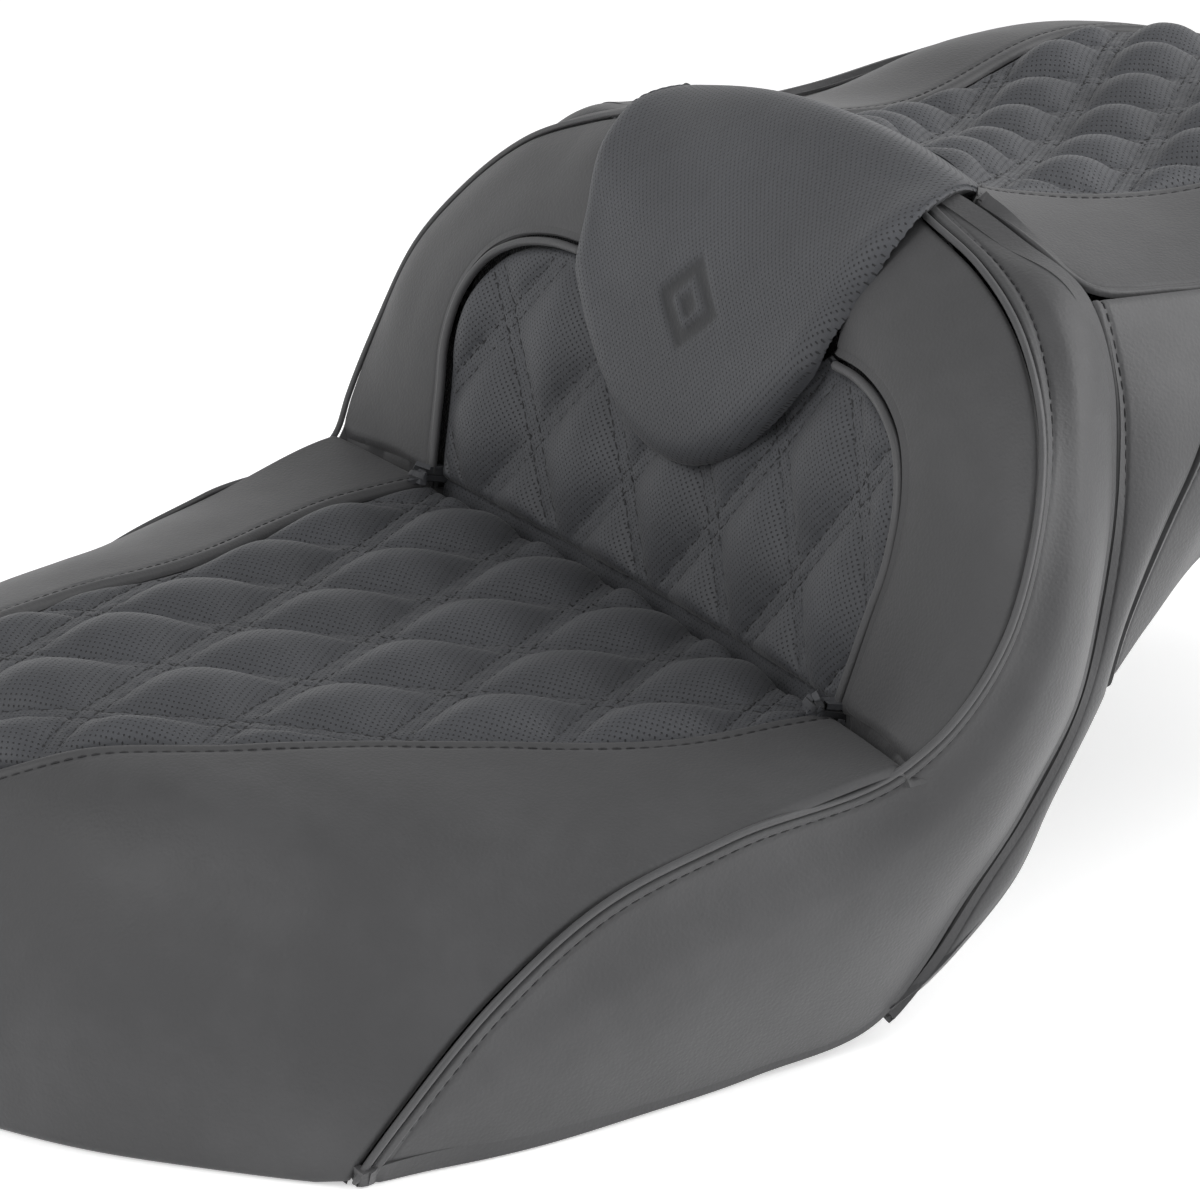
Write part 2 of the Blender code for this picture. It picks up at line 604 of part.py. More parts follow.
def rear_fixing(pan_piece, steel, knob):
    """The steel tab behind the tail, and the captive thumb screw that holds it to the mudguard."""
    plate = block("rear_tab", (-25, 352, TAB_TOP - TAB), (25, SCREW_Y + 14, TAB_TOP), steel)
    row = [("tab_rivet_left", 15, 368), ("tab_rivet_right", -15, 368)]
    for _, x, y in row:
        drill(plate, (x, y), RIVET_RADIUS + PLAY, TAB_TOP - 20, TAB_TOP + 30)
    rivets([pan_piece], row, TAB_TOP - TAB, 53.6, steel)
    drill(plate, (0, SCREW_Y), SCREW_RADIUS + PLAY, TAB_TOP - 20, TAB_TOP + 20)
    head = TAB_TOP + PLAY
    profile = [(SCREW_RADIUS * 0.7, TAB_TOP - 20), (SCREW_RADIUS, TAB_TOP - 18.5), (SCREW_RADIUS, head),
               (KNOB_RADIUS * 0.6, head), (KNOB_RADIUS * 0.6, head + 2), (KNOB_RADIUS, head + 2.6),
               (KNOB_RADIUS, head + 10), (KNOB_RADIUS - 1, head + 11)]
    turned("thumb_screw", (0, SCREW_Y), profile, knob, 24)
    low = TAB_TOP - TAB - PLAY
    ring = turned("retaining_washer", (0, SCREW_Y), [(7.5, low - 1.5), (7.5, low)], knob, 24)
    drill(ring, (0, SCREW_Y), SCREW_RADIUS + PLAY, low - 5, low + 5)


def rubber_feet(rubber):
    """Round rubber feet under the pan, which carry the seat on the frame and the mudguard."""
    places = [("front_foot", 95, -190, -104), ("middle_foot", 120, -55, -104), ("rear_foot", 105, 300, 51.6)]
    for name, x, y, top in places:
        high = top - PAN - 0.9
        low = HEM_Z if top < 0 else high - 9
        profile = [(14, low), (16, low + 1.5), (17, high)]
        turned(name + "_left", (x, y), profile, rubber, 20)
        turned(name + "_right", (-x, y), profile, rubber, 20)


def build():
    for piece in list(bpy.data.objects):
        bpy.data.objects.remove(piece, do_unlink=True)
    plain = material("plain_vinyl", VINYL, 0.55)
    quilted = material("quilted_vinyl", QUILT_VINYL, 0.62)
    piping_vinyl = material("piping_vinyl", VINYL, 0.5)
    foam = material("foam", FOAM_COLOUR, 0.95)
    plastic = material("pan_plastic", (0.02, 0.02, 0.02), 0.6)
    rubber = material("rubber", (0.015, 0.015, 0.015), 0.8)
    steel = material("black_steel", (0.03, 0.03, 0.03), 0.4, 0.6)
    bright = material("bright_steel", (0.6, 0.6, 0.6), 0.3, 1.0)

    rider_quilt_panel(quilted)
    rider_top_panel(plain)
    backrest_quilt_panel(quilted)
    backrest_bolsters(plain)
    backrest_tongue(quilted, foam)
    side_panels(plain)
    pillion_quilt_panel(quilted)
    pillion_top_panel(plain)
    tail_panel(plain)
    piping_runs(piping_vinyl)
    foam_blocks(foam)
    pan_piece = base_pan(plastic)
    front_hook(pan_piece, steel)
    rear_fixing(pan_piece, steel, bright)
    rubber_feet(rubber)


build()
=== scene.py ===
"""A two-up touring motorcycle seat in black perforated and plain vinyl, on a moulded pan."""

import json
import math

import bpy
import numpy as np
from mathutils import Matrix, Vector

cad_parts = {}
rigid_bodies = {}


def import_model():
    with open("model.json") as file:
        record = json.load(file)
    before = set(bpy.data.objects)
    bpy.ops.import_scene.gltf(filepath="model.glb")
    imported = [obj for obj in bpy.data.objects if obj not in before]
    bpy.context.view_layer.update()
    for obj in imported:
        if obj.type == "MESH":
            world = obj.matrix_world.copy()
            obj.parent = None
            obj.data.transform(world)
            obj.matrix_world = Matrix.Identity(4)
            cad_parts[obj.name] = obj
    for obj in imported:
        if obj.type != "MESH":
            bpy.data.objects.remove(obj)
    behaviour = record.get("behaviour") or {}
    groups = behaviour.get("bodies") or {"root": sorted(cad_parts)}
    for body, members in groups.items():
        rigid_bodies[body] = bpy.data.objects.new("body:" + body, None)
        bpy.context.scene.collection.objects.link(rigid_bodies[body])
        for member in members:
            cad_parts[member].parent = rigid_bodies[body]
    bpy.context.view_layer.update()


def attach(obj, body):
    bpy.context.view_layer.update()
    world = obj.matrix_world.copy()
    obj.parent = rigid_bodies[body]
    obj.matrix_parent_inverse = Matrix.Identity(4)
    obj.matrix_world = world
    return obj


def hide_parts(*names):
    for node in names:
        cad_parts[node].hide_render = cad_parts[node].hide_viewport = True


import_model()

scene = bpy.context.scene


# ==== The rider's quilt ====
# The panel that the rider sits on: perforated vinyl over wadding, sewn down in diamonds by pairs of
# stitch rows with a flat strip between them. Its edges turn down into the seam round it.
# The shape is drawn in millimetres about the crease: x to the rider's left, y to the rear, z up.

class Path:
    """A smooth curve through a few chosen points, read by its fraction of length, from 0 to 1."""

    def __init__(self, *places):
        self.points = np.array(places, float)
        steps = np.linalg.norm(np.diff(self.points, axis=0), axis=1)
        self.knots = np.concatenate([[0.0], np.cumsum(steps)]) / steps.sum()
        self.slopes = np.gradient(self.points, self.knots, axis=0)

    def at(self, fraction):
        fraction = np.clip(np.asarray(fraction, float), 0.0, 1.0)
        last = len(self.knots) - 2
        i = np.clip(np.searchsorted(self.knots, fraction, side="right") - 1, 0, last)
        span = self.knots[i + 1] - self.knots[i]
        u = ((fraction - self.knots[i]) / span)[..., None]
        span = span[..., None]
        start, end = self.points[i], self.points[i + 1]
        leave, arrive = self.slopes[i] * span, self.slopes[i + 1] * span
        return (start * (1 + 2 * u) * (1 - u) ** 2 + leave * u * (1 - u) ** 2
                + end * u * u * (3 - 2 * u) + arrive * u * u * (u - 1))


def smooth(value, low, high):
    """0 below low, 1 above high, and a smooth rise between."""
    u = np.clip((np.asarray(value, float) - low) / (high - low), 0.0, 1.0)
    return u * u * (3 - 2 * u)


def points(x, y, z):
    return np.stack(np.broadcast_arrays(x, y, z), axis=-1).astype(float)


def ribs(middle, edge, dish, fall, side):
    """A surface of ribs that run from a middle line out to an edge line. side is -1 to 1."""
    across = np.abs(side)
    y = middle[..., 0] + (edge[..., 1] - middle[..., 0]) * across ** 2
    drop = edge[..., 2] - middle[..., 1] - dish
    z = middle[..., 1] + dish * across ** 2 + drop * across ** fall
    return points(side * edge[..., 0], y, z)


SEAT_MIDDLE = Path((-314, -116), (-312, -95), (-302, -66), (-288, -38), (-269, -14), (-247, -2),
                   (-197, 1), (-132, -3.6), (-65, -7), (24, -11), (40, -13))
SEAT_EDGE = Path((191, -200, -116), (199, -186, -92), (203, -151, -55), (203, -113, -31),
                 (206, -66, -16), (214, 0, 0), (214, 16, 1))


def seat(along, side):
    """The rider's seat: along runs from 0 at the nose to 1 at the crease."""
    dish = 9.0 * smooth(along, 0.1, 0.6)
    return ribs(SEAT_MIDDLE.at(along), SEAT_EDGE.at(along), dish, 3.0, side)


def from_above(surface, edge_line, x, y):
    """The along and side values of a surface at a place seen from above."""
    x, y = np.broadcast_arrays(np.asarray(x, float), np.asarray(y, float))
    low, high = np.zeros(x.shape), np.ones(x.shape)
    for _ in range(24):
        half = (low + high) / 2
        short = surface(half, x / edge_line.at(half)[..., 0])[..., 1] < y
        low, high = np.where(short, half, low), np.where(short, high, half)
    return half, x / edge_line.at(half)[..., 0]


def seat_top(x, y):
    return seat(*from_above(seat, SEAT_EDGE, x, y))


def grid_normals(grid):
    """The unit normal at each point of a grid of points, from the faces around it."""
    faces = np.cross(grid[1:, 1:] - grid[:-1, :-1], grid[:-1, 1:] - grid[1:, :-1])
    total = np.zeros(grid.shape)
    for rows in (slice(0, -1), slice(1, None)):
        for columns in (slice(0, -1), slice(1, None)):
            total[rows, columns] += faces
    return total / np.maximum(np.linalg.norm(total, axis=-1, keepdims=True), 1e-9)


def raised(grid, height, outward):
    """The grid moved along its normals. outward says roughly which way is out."""
    normals = grid_normals(grid)
    if np.sum(normals * np.array(outward, float)) < 0:
        normals = -normals
    return grid + normals * np.broadcast_to(height, grid.shape[:2])[..., None]


def raised_at(surface, x, y, height, outward):
    """Points a height off a surface of two values, without a grid."""
    here = surface(x, y)
    normals = unit(np.cross(surface(x + 0.5, y) - here, surface(x, y + 0.5) - here))
    normals *= np.where(np.sum(normals * np.array(outward, float), axis=-1, keepdims=True) < 0, -1, 1)
    return here + normals * np.asarray(height)[..., None]


def spread(count, crowd=0.8):
    """Numbers from 0 to 1, closer together towards both ends."""
    t = np.linspace(0, 1, count)
    return t - crowd * np.sin(2 * math.pi * t) / (2 * math.pi)


def unit(vectors):
    return vectors / np.linalg.norm(vectors, axis=-1, keepdims=True)


def mesh_grid(rows, columns):
    return np.meshgrid(np.asarray(rows, float), np.asarray(columns, float), indexing="ij")


def distance_to(grid, line):
    """How far each point of a grid is from a line of points."""
    flat = grid.reshape(-1, grid.shape[-1])
    nearest = np.full(len(flat), np.inf)
    for start, end in zip(line, line[1:]):
        step = end - start
        share = np.clip((flat - start) @ step / max(step @ step, 1e-9), 0, 1)
        gap = flat - start - share[:, None] * step
        nearest = np.minimum(nearest, np.einsum("ij,ij->i", gap, gap))
    return np.sqrt(nearest).reshape(grid.shape[:-1])


def turned_in(distance, radius):
    """How far an edge has rolled down at a distance from a seam."""
    d = np.clip(distance / radius, 0, 1)
    return radius * (1 - np.sqrt(1 - (1 - d) ** 2))


UP, FORWARD, OUTWARD = (0, 0, 1), (0, -1, 0), (1, 0, 0)
STRIP = 3.3               # half the width of the flat strip between two rows of stitches


def seam_distance(x, y, outline):
    """How far a place is from a quilt's outline, which is drawn on the left and mirrored."""
    place = points(x, y, 0)[..., :2]
    return np.minimum(distance_to(place, outline), distance_to(place, outline * (-1, 1)))


def stitch_lines(surface, height_at, runs, outward):
    """Each run of places on a quilt as two lines: on its face, and a millimetre further out."""
    return [[raised_at(surface, x, y, height_at(x, y) + further, outward) for further in (0, 1)]
            for x, y in runs]


class Diamonds:
    """A lattice of diamonds: half their width and length, and the place of a crossing."""

    def __init__(self, half_width, half_length, crossing):
        self.a, self.b, self.crossing = half_width, half_length, crossing
        self.pitch = 1 / math.hypot(0.5 / half_width, 0.5 / half_length)

    def height(self, x, y, rise, seam):
        """Pillows between the strips, pulled down towards the seam round the panel. p and q count across
        the lattice, and a strip runs along each whole number."""
        u, v = x / (2 * self.a), (y - self.crossing) / (2 * self.b)
        p, q = u + v, u - v
        pillow, pucker = np.ones(np.shape(x)), np.zeros(np.shape(x))
        for own, other in ((p, q), (q, p)):
            gap = np.abs(own - np.round(own)) * self.pitch
            u = np.clip((gap - STRIP) / (self.pitch / 2 - STRIP), 0, 1)
            pillow *= 1 - (1 - u) ** 2.3
            wave = np.sin(other * 29 + 3 * np.sin(own * 5.1) + np.round(own) * 2.4)
            pucker += 0.28 * wave * np.exp(-np.clip(gap - STRIP, 0, None) / 4) * (gap > STRIP * 0.5)
            pucker -= 0.5 * np.exp(-((gap - STRIP) / 0.8) ** 2)
        cell = np.sin(np.floor(p) * 12.99 + np.floor(q) * 78.23) * 43.75
        rise = rise * (0.95 + 0.1 * (cell - np.floor(cell)))
        pulled = 1 - (1 - np.clip(seam / 17, 0, 1)) ** 2.2
        uneven = 0.35 * np.sin(x / 17 + 1.3 * np.sin(y / 23)) * np.sin(y / 19 + x / 41)
        return (rise * pillow + uneven * pillow) * pulled + pucker * smooth(seam, 1, 6)

    def rows(self, reach, inside):
        """The rows of stitches, as runs of places, where inside says the panel is."""
        found = []
        x = np.arange(-reach, reach, 1.0)
        for turn in (1, -1):
            for line in np.arange(-14, 15):
                for edge in (-STRIP, STRIP):
                    count = line + edge / self.pitch
                    y = self.crossing + 2 * self.b * turn * (count - x / (2 * self.a))
                    within = inside(x, y)
                    cuts = np.flatnonzero(np.diff(within.astype(int))) + 1
                    for part in np.split(np.arange(len(x)), cuts):
                        if within[part[0]] and len(part) > 5:
                            found.append((x[part], y[part]))
        return found


def to_part(place):
    """From millimetres about the crease to metres about the part's origin."""
    return (np.asarray(place, float) + (0, -75.0, 116.0)) * 0.001


def add_mesh(name, corners, faces, finish, flat=None, values=None):
    """A smooth mesh, with its place on the flat cover as a UV map and any other values by point."""
    mesh = bpy.data.meshes.new(name)
    mesh.from_pydata(to_part(corners).tolist(), [], faces)
    mesh.update()
    loops = np.empty(len(mesh.loops), np.int32)
    mesh.loops.foreach_get("vertex_index", loops)
    if flat is not None:
        layer = mesh.uv_layers.new(name="flat")
        layer.data.foreach_set("uv", (flat[loops] * 0.001).astype(np.float32).ravel())
    for title, value in (values or {}).items():
        layer = mesh.attributes.new(title, "FLOAT", "POINT")
        layer.data.foreach_set("value", value.astype(np.float32))
    mesh.shade_smooth()
    mesh.materials.append(finish)
    piece = bpy.data.objects.new(name, mesh)
    scene.collection.objects.link(piece)
    return piece


FLOOR = -115.9            # the hem's lowest line, where the seat stands on a flat floor


def panel(name, face, flat, outward, finish, values=None, thick=2.2, tuck=5.0):
    """A cover panel from a grid of points: its face, the seam allowance turned in all round it, the
    backing behind it and the edges between. values are numbers by point for its material to read."""
    values = values or {}
    if np.sum(grid_normals(face) * np.array(outward, float)) < 0:
        face, flat = face[:, ::-1], flat[:, ::-1]
        values = {title: value[:, ::-1] for title, value in values.items()}
    depth = np.pad(np.zeros(face.shape[:2]), 1, constant_values=tuck)[..., None]
    around = ((1, 1), (1, 1), (0, 0))
    face = np.pad(face, around, mode="edge") - np.pad(grid_normals(face), around, mode="edge") * depth
    flat = np.pad(flat, around, mode="edge")
    values = {title: np.pad(value, 1, mode="edge") for title, value in values.items()}
    rows, columns = face.shape[:2]
    back = face - grid_normals(face) * thick
    face, back = (np.maximum(grid, (-400.0, -400.0, FLOOR)) for grid in (face, back))
    index = np.arange(rows * columns).reshape(rows, columns)
    quads = np.stack([index[:-1, :-1], index[1:, :-1], index[1:, 1:], index[:-1, 1:]], -1).reshape(-1, 4)
    rim = np.concatenate([index[0, :-1], index[:-1, -1], index[-1, :0:-1], index[:0:-1, 0]])
    after = np.roll(rim, -1)
    count = rows * columns
    walls = np.stack([rim, after, after + count, rim + count], -1)
    faces = np.concatenate([quads, quads[:, ::-1] + count, walls])
    first = face.reshape(-1, 3)[quads[0]]
    facing = np.cross(first[1] - first[0], first[3] - first[0])
    if facing @ (first[0] - back.reshape(-1, 3)[quads[0][0]]) < 0:
        faces = faces[:, ::-1]
    corners = np.concatenate([face.reshape(-1, 3), back.reshape(-1, 3)])
    doubled = {title: np.tile(value.ravel(), 2) for title, value in values.items()}
    piece = add_mesh(name, corners, faces.tolist(), finish, np.tile(flat.reshape(-1, 2), (2, 1)), doubled)
    piece.data.set_sharp_from_angle(angle=math.radians(62))
    return piece


class Link:
    """One output of a material's nodes. Sums and products of links add Math nodes."""

    def __init__(self, tree, socket=None):
        self.tree, self.socket = tree, socket

    def node(self, kind, settings, values, output=0):
        made = self.tree.nodes.new(kind)
        for name, value in settings.items():
            setattr(made, name, value)
        for name, value in values.items():
            if isinstance(value, Link):
                self.tree.links.new(value.socket, made.inputs[name])
            else:
                made.inputs[name].default_value = value
        return Link(self.tree, made.outputs[output])

    def maths(self, operation, *values):
        return self.node("ShaderNodeMath", {"operation": operation}, dict(enumerate(values)))

    def __add__(self, other):
        return self.maths("ADD", self, other)

    def __sub__(self, other):
        return self.maths("SUBTRACT", self, other)

    def __rsub__(self, other):
        return self.maths("SUBTRACT", other, self)

    def __mul__(self, other):
        return self.maths("MULTIPLY", self, other)

    def __pow__(self, other):
        return self.maths("POWER", self, other)

    __radd__, __rmul__ = __add__, __mul__

    def rise(self, low, high):
        """0 below low, 1 above high, and a smooth rise between."""
        return self.node("ShaderNodeMapRange", {"interpolation_type": "SMOOTHSTEP"},
                         {"Value": self, "From Min": low, "From Max": high})


class Finish:
    """A new material with its shader's fixed values, and the places its patterns are read from."""

    def __init__(self, name, **fixed):
        self.material = bpy.data.materials.new(name)
        self.material.use_nodes = True
        self.tree = self.material.node_tree
        self.shader = self.tree.nodes["Principled BSDF"]
        for socket, value in fixed.items():
            self.shader.inputs[socket.replace("_", " ")].default_value = value
        self.start = Link(self.tree)
        self.place = self.start.node("ShaderNodeTexCoord", {}, {}, "Object")

    def noise(self, scale, detail=3.0, stretch=None):
        place = self.place
        if stretch:
            place = self.start.node("ShaderNodeVectorMath", {"operation": "MULTIPLY"},
                                    {0: place, 1: stretch})
        return self.start.node("ShaderNodeTexNoise", {},
                               {"Vector": place, "Scale": scale, "Detail": detail})

    def cells(self, scale, feature="F1"):
        return self.start.node("ShaderNodeTexVoronoi", {"feature": feature},
                               {"Vector": self.place, "Scale": scale}, "Distance")

    def value(self, name):
        return self.start.node("ShaderNodeAttribute", {"attribute_name": name}, {}, "Fac")

    def mix(self, factor, first, second):
        made = self.tree.nodes.new("ShaderNodeMix")
        made.data_type = "RGBA"
        for socket, value in ((0, factor), (6, first), (7, second)):
            if isinstance(value, Link):
                self.tree.links.new(value.socket, made.inputs[socket])
            else:
                made.inputs[socket].default_value = value if socket == 0 else (*value, 1.0)
        return Link(self.tree, made.outputs[2])

    def bump(self, height, distance, under=None):
        values = {"Height": height, "Distance": distance}
        if under is not None:
            values["Normal"] = under
        return self.start.node("ShaderNodeBump", {}, values, "Normal")

    def finish(self, **links):
        for socket, link in links.items():
            self.tree.links.new(link.socket, self.shader.inputs[socket.replace("_", " ")])
        return self.material


def shade(colour, amount):
    return tuple(channel * amount for channel in colour)


HOLE_PITCH = 0.0027       # metres between the perforations along a row


def holes_apart(across, along):
    """Distance from the nearest hole, where holes stand in a square grid with one in each middle."""
    def from_whole(link):
        return link.maths("PINGPONG", link, 0.5)

    corner = from_whole(across) ** 2.0 + from_whole(along) ** 2.0
    middle = from_whole(across + 0.5) ** 2.0 + from_whole(along + 0.5) ** 2.0
    return corner.maths("MINIMUM", corner, middle) ** 0.5


def vinyl(name, colour, roughness, perforated=False):
    """Grained black vinyl, a little uneven in tone. The perforated kind has holes all over, painted
    near-black as shade inside them, but none in a plain pressed mark, which is painted darker as shade in
    its recess."""
    made = Finish(name, Specular_IOR_Level=0.42, Sheen_Weight=0.10, Sheen_Roughness=0.45)
    pebble = made.cells(820.0, "SMOOTH_F1")
    crinkle = made.noise(1500.0, 4.0)
    blotch = (made.noise(14.0, 4.0) + 0.35 * made.noise(90.0, 3.0)).rise(0.5, 0.95)
    tone = made.mix(blotch, shade(colour, 0.90), shade(colour, 1.12))
    rough = roughness + 0.10 * (made.noise(46.0, 4.0) - 0.5) + 0.05 * pebble
    skin = made.bump(pebble * -0.8 + crinkle * 0.35, 0.00016)
    if perforated:
        flat = made.start.node("ShaderNodeUVMap", {"uv_map": "flat"}, {}, "UV")
        parts = made.start.node("ShaderNodeSeparateXYZ", {}, {0: flat}).socket.node
        across, along = (Link(made.tree, parts.outputs[i]) * (1 / HOLE_PITCH) for i in (0, 1))
        mark = made.value("mark")
        # The holes are real; their near-black colour is painted shade inside each hole.
        hole = (1 - holes_apart(across, along).rise(0.08, 0.16)) * (1 - mark)
        tone = made.mix(hole * 0.7, tone, shade(colour, 0.10))
        # The pressed lozenge is painted darker: painted shade for its pressed recess.
        tone = made.mix(mark * 0.8, tone, shade(colour, 0.25))
        rough = rough + 0.2 * hole
        skin = made.bump(hole * -1.0, 0.0005, skin)
    return made.finish(Base_Color=tone, Roughness=rough, Normal=skin)


QUILT_GREY = (0.052, 0.054, 0.060)
PLAIN_GREY = (0.052, 0.052, 0.054)
quilt_vinyl = vinyl("quilted_vinyl_finish", QUILT_GREY, 0.56, perforated=True)
plain_vinyl = vinyl("plain_vinyl_finish", PLAIN_GREY, 0.52)


def thread_finish():
    """Bonded black polyester thread, with its twist."""
    made = Finish("thread_finish", Specular_IOR_Level=0.35)
    twist = made.noise(2600.0, 2.0)
    tone = made.mix(twist, (0.012, 0.012, 0.013), (0.035, 0.035, 0.037))
    return made.finish(Base_Color=tone, Roughness=0.55 + 0.2 * twist, Normal=made.bump(twist, 0.0001))


thread = thread_finish()


def stitches(name, lines, pitch=4.8, length=3.5, radius=0.42, sink=0.45):
    """A row of stitches along each line of points: short threads whose ends go down into the cover.
    Each line is a pair: its points, and the same points a millimetre further out."""
    sides, stations = 6, np.array([-1.0, -0.82, 0.0, 0.82, 1.0])
    girth = np.array([0.45, 0.9, 1.0, 0.9, 0.45])
    angles = np.arange(sides) * 2 * math.pi / sides
    corners, faces, one = [], [], []
    for ring in range(len(stations) - 1):
        for side in range(sides):
            after = (side + 1) % sides
            one.append((ring * sides + side, ring * sides + after,
                        (ring + 1) * sides + after, (ring + 1) * sides + side))
    caps = [tuple(range(sides))[::-1], tuple(range((len(stations) - 1) * sides, len(stations) * sides))]
    for low, high in lines:
        steps = np.concatenate([[0.0], np.cumsum(np.linalg.norm(np.diff(low, axis=0), axis=1))])
        places = np.arange(pitch * 0.5, steps[-1] - pitch * 0.4, pitch)
        for place in places:
            at = place + stations * length / 2
            centre = np.stack([np.interp(at, steps, low[:, k]) for k in range(3)], -1)
            above = np.stack([np.interp(at, steps, high[:, k]) for k in range(3)], -1)
            up = above[2] - centre[2]
            up /= np.linalg.norm(up)
            along = centre[-1] - centre[0]
            along /= max(np.linalg.norm(along), 1e-9)
            across = np.cross(up, along)
            middle = centre + up * (radius * 0.35 - sink * stations[:, None] ** 4)
            ring = (np.cos(angles)[:, None] * across + np.sin(angles)[:, None] * up) * radius
            base = len(corners) * len(stations) * sides
            corners.append((middle[:, None] + ring[None] * girth[:, None, None]).reshape(-1, 3))
            faces += [tuple(np.add(face, base)) for face in one + caps]
    piece = add_mesh(name, np.concatenate(corners), faces, thread)
    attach(piece, "seat")


def cover(piece, slot, *nodes, fill=None):
    """A piece that rides on the seat's body and stands for solids of the part. fill is not used."""
    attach(piece, "seat")
    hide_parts(*nodes)


SEAT_QUILT = Path((0, -283), (22, -276), (43, -256), (61, -227), (77, -197), (89, -165), (100, -132),
                  (114, -100), (130, -71), (143, -40), (147, -8), (150, 24))
seat_diamonds = Diamonds(32.0, 43.0, -5.0)
seat_outline = SEAT_QUILT.at(np.linspace(0, 1, 120))


def crease(x):
    """Where the seat meets the backrest wall, seen from above."""
    return 24 - 24 * (x / 214) ** 2


def seat_length(y):
    """Distance along the seat's middle at each distance behind the crease, 0 at the crease."""
    line = SEAT_MIDDLE.at(np.linspace(0, 1, 400))
    run = np.concatenate([[0.0], np.cumsum(np.linalg.norm(np.diff(line, axis=0), axis=1))])
    return np.interp(y, line[:, 0], run) - np.interp(0.0, line[:, 0], run)


def seat_quilt_height(x, y):
    seam = seam_distance(x, y, seat_outline)
    fold = np.clip(crease(x) - y, 0, None)
    height = seat_diamonds.height(x, seat_length(y), 8.0, np.minimum(seam, fold * 1.6))
    return height - 2.2 - turned_in(seam, 3.5) - turned_in(fold, 6.0)


share, side = mesh_grid(np.linspace(0.006, 1.0, 210), spread(190, 0.75) * 2 - 1)
plan = SEAT_QUILT.at(share)
quilt_x = side * (plan[..., 0] - 0.1)
quilt_y = plan[..., 1] + (crease(quilt_x) - 17) * smooth(share, 0.75, 1.0)
seat_quilt_face = raised(seat_top(quilt_x, quilt_y), seat_quilt_height(quilt_x, quilt_y), UP)
rider_quilt = panel("rider_quilt", seat_quilt_face, np.stack([quilt_x, seat_length(quilt_y)], -1),
                    UP, quilt_vinyl)
cover(rider_quilt, "quilted_vinyl", "rider_quilt_panel", fill=0.8)


def seat_quilt_lines():
    level = np.arange(-312, 36, 2.0)

    def inside(x, length):
        y = np.interp(length, seat_length(level), level)
        half = np.interp(y, seat_outline[:, 1], seat_outline[:, 0])
        return (np.abs(x) < half - 2.5) & (y > -280) & (y < crease(x) - 4)

    runs = [(x, np.interp(length, seat_length(level), level))
            for x, length in seat_diamonds.rows(160, inside)]
    return stitch_lines(seat_top, seat_quilt_height, runs, UP)


stitches("rider_quilt_stitches", seat_quilt_lines())


# ==== The plain panel round the rider's quilt ====
# Plain grained vinyl that runs down both sides of the seat and over the nose to its hem, where it is
# pulled round the pan. A single row of topstitching follows the seam round the quilt.

def lip(distance, width=4.6, height=1.2):
    """A rolled edge beside a seam, and the groove that its row of stitches pulls."""
    u = np.clip(distance / width, 0, 1)
    roll = height * (1 - (2 * u - 1) ** 4) * (distance < width)
    groove = 0.7 * np.exp(-((distance - width - 0.5) / 0.9) ** 2)
    return roll - groove


def line_at(face, distance, reach, outward):
    """The line on a panel's face at a distance from its first row, and one a millimetre further out."""
    lines = []
    for grid in (face, raised(face, 1.0, outward)):
        lines.append(np.array([[np.interp(reach, distance[:, j], grid[:, j, k]) for k in range(3)]
                               for j in range(grid.shape[1])]))
    return tuple(lines)


def hem_return(edge, rows=12, width=22.0):
    """The hem pulled round the pan's edge: rows of points from an edge line in under the pan."""
    at, last = np.arange(len(edge)), len(edge) - 1
    tangent = (edge[np.minimum(at + 9, last)] - edge[np.maximum(at - 9, 0)])[:, :2]
    inward = unit(np.stack([-tangent[:, 1], tangent[:, 0]], -1))
    middle = np.array([0.0, np.clip(edge[:, 1], -150, 330).mean()])
    if np.sum(inward * (middle - edge[:, :2])) < 0:
        inward = -inward
    found = []
    for share in np.linspace(0, 1, rows + 1)[1:]:
        reach = width * share
        x, y = (edge[:, :2] + inward * reach).T
        level = edge[:, 2] + (under_pan(y) - edge[:, 2]) * smooth(share, 0.08, 0.6)
        found.append(points(x, y, level))
    return np.array(found)


PAN_MIDDLE = Path((-302, -104), (-150, -104), (-45, -104), (-12, -103), (22, -97), (60, -66), (80, -34),
                  (100, -3), (135, 27), (172, 44), (225, 50), (320, 52), (418, 54))


def under_pan(y):
    """Height of the vinyl's face where it lies against the underside of the pan."""
    line = PAN_MIDDLE.at(np.linspace(0, 1, 200))
    return np.interp(y, line[:, 0], line[:, 1]) - 4.0 - 2.6


def arc_lengths(face, axis):
    """Distance along the rows or columns of a grid, from the first."""
    steps = np.linalg.norm(np.diff(face, axis=axis), axis=-1)
    start = np.zeros(face.shape[:2])
    if axis == 0:
        start[1:] = np.cumsum(steps, axis=0)
    else:
        start[:, 1:] = np.cumsum(steps, axis=1)
    return start


def flat_of(face):
    """A panel's place on its flat cut piece, from the lengths along its grid."""
    return np.stack([arc_lengths(face, 1), arc_lengths(face, 0)], -1)


def round_the_end(surface, edge_line, quilt, quilt_range, outer, rows):
    """Half a plain panel that goes round a quilted one, from its seam with the quilt outwards."""
    plan = quilt.at(np.linspace(*quilt_range, len(outer)))
    inner = np.stack(from_above(surface, edge_line, plan[:, 0] + 0.1, plan[:, 1]), axis=-1)
    inner[-1, 1] = 0.0
    place = inner[None] * (1 - rows[:, None, None]) + outer[None] * rows[:, None, None]
    whole = np.concatenate([place, place[:, -2::-1] * (1, -1)], axis=1)
    return surface(whole[..., 0], whole[..., 1])


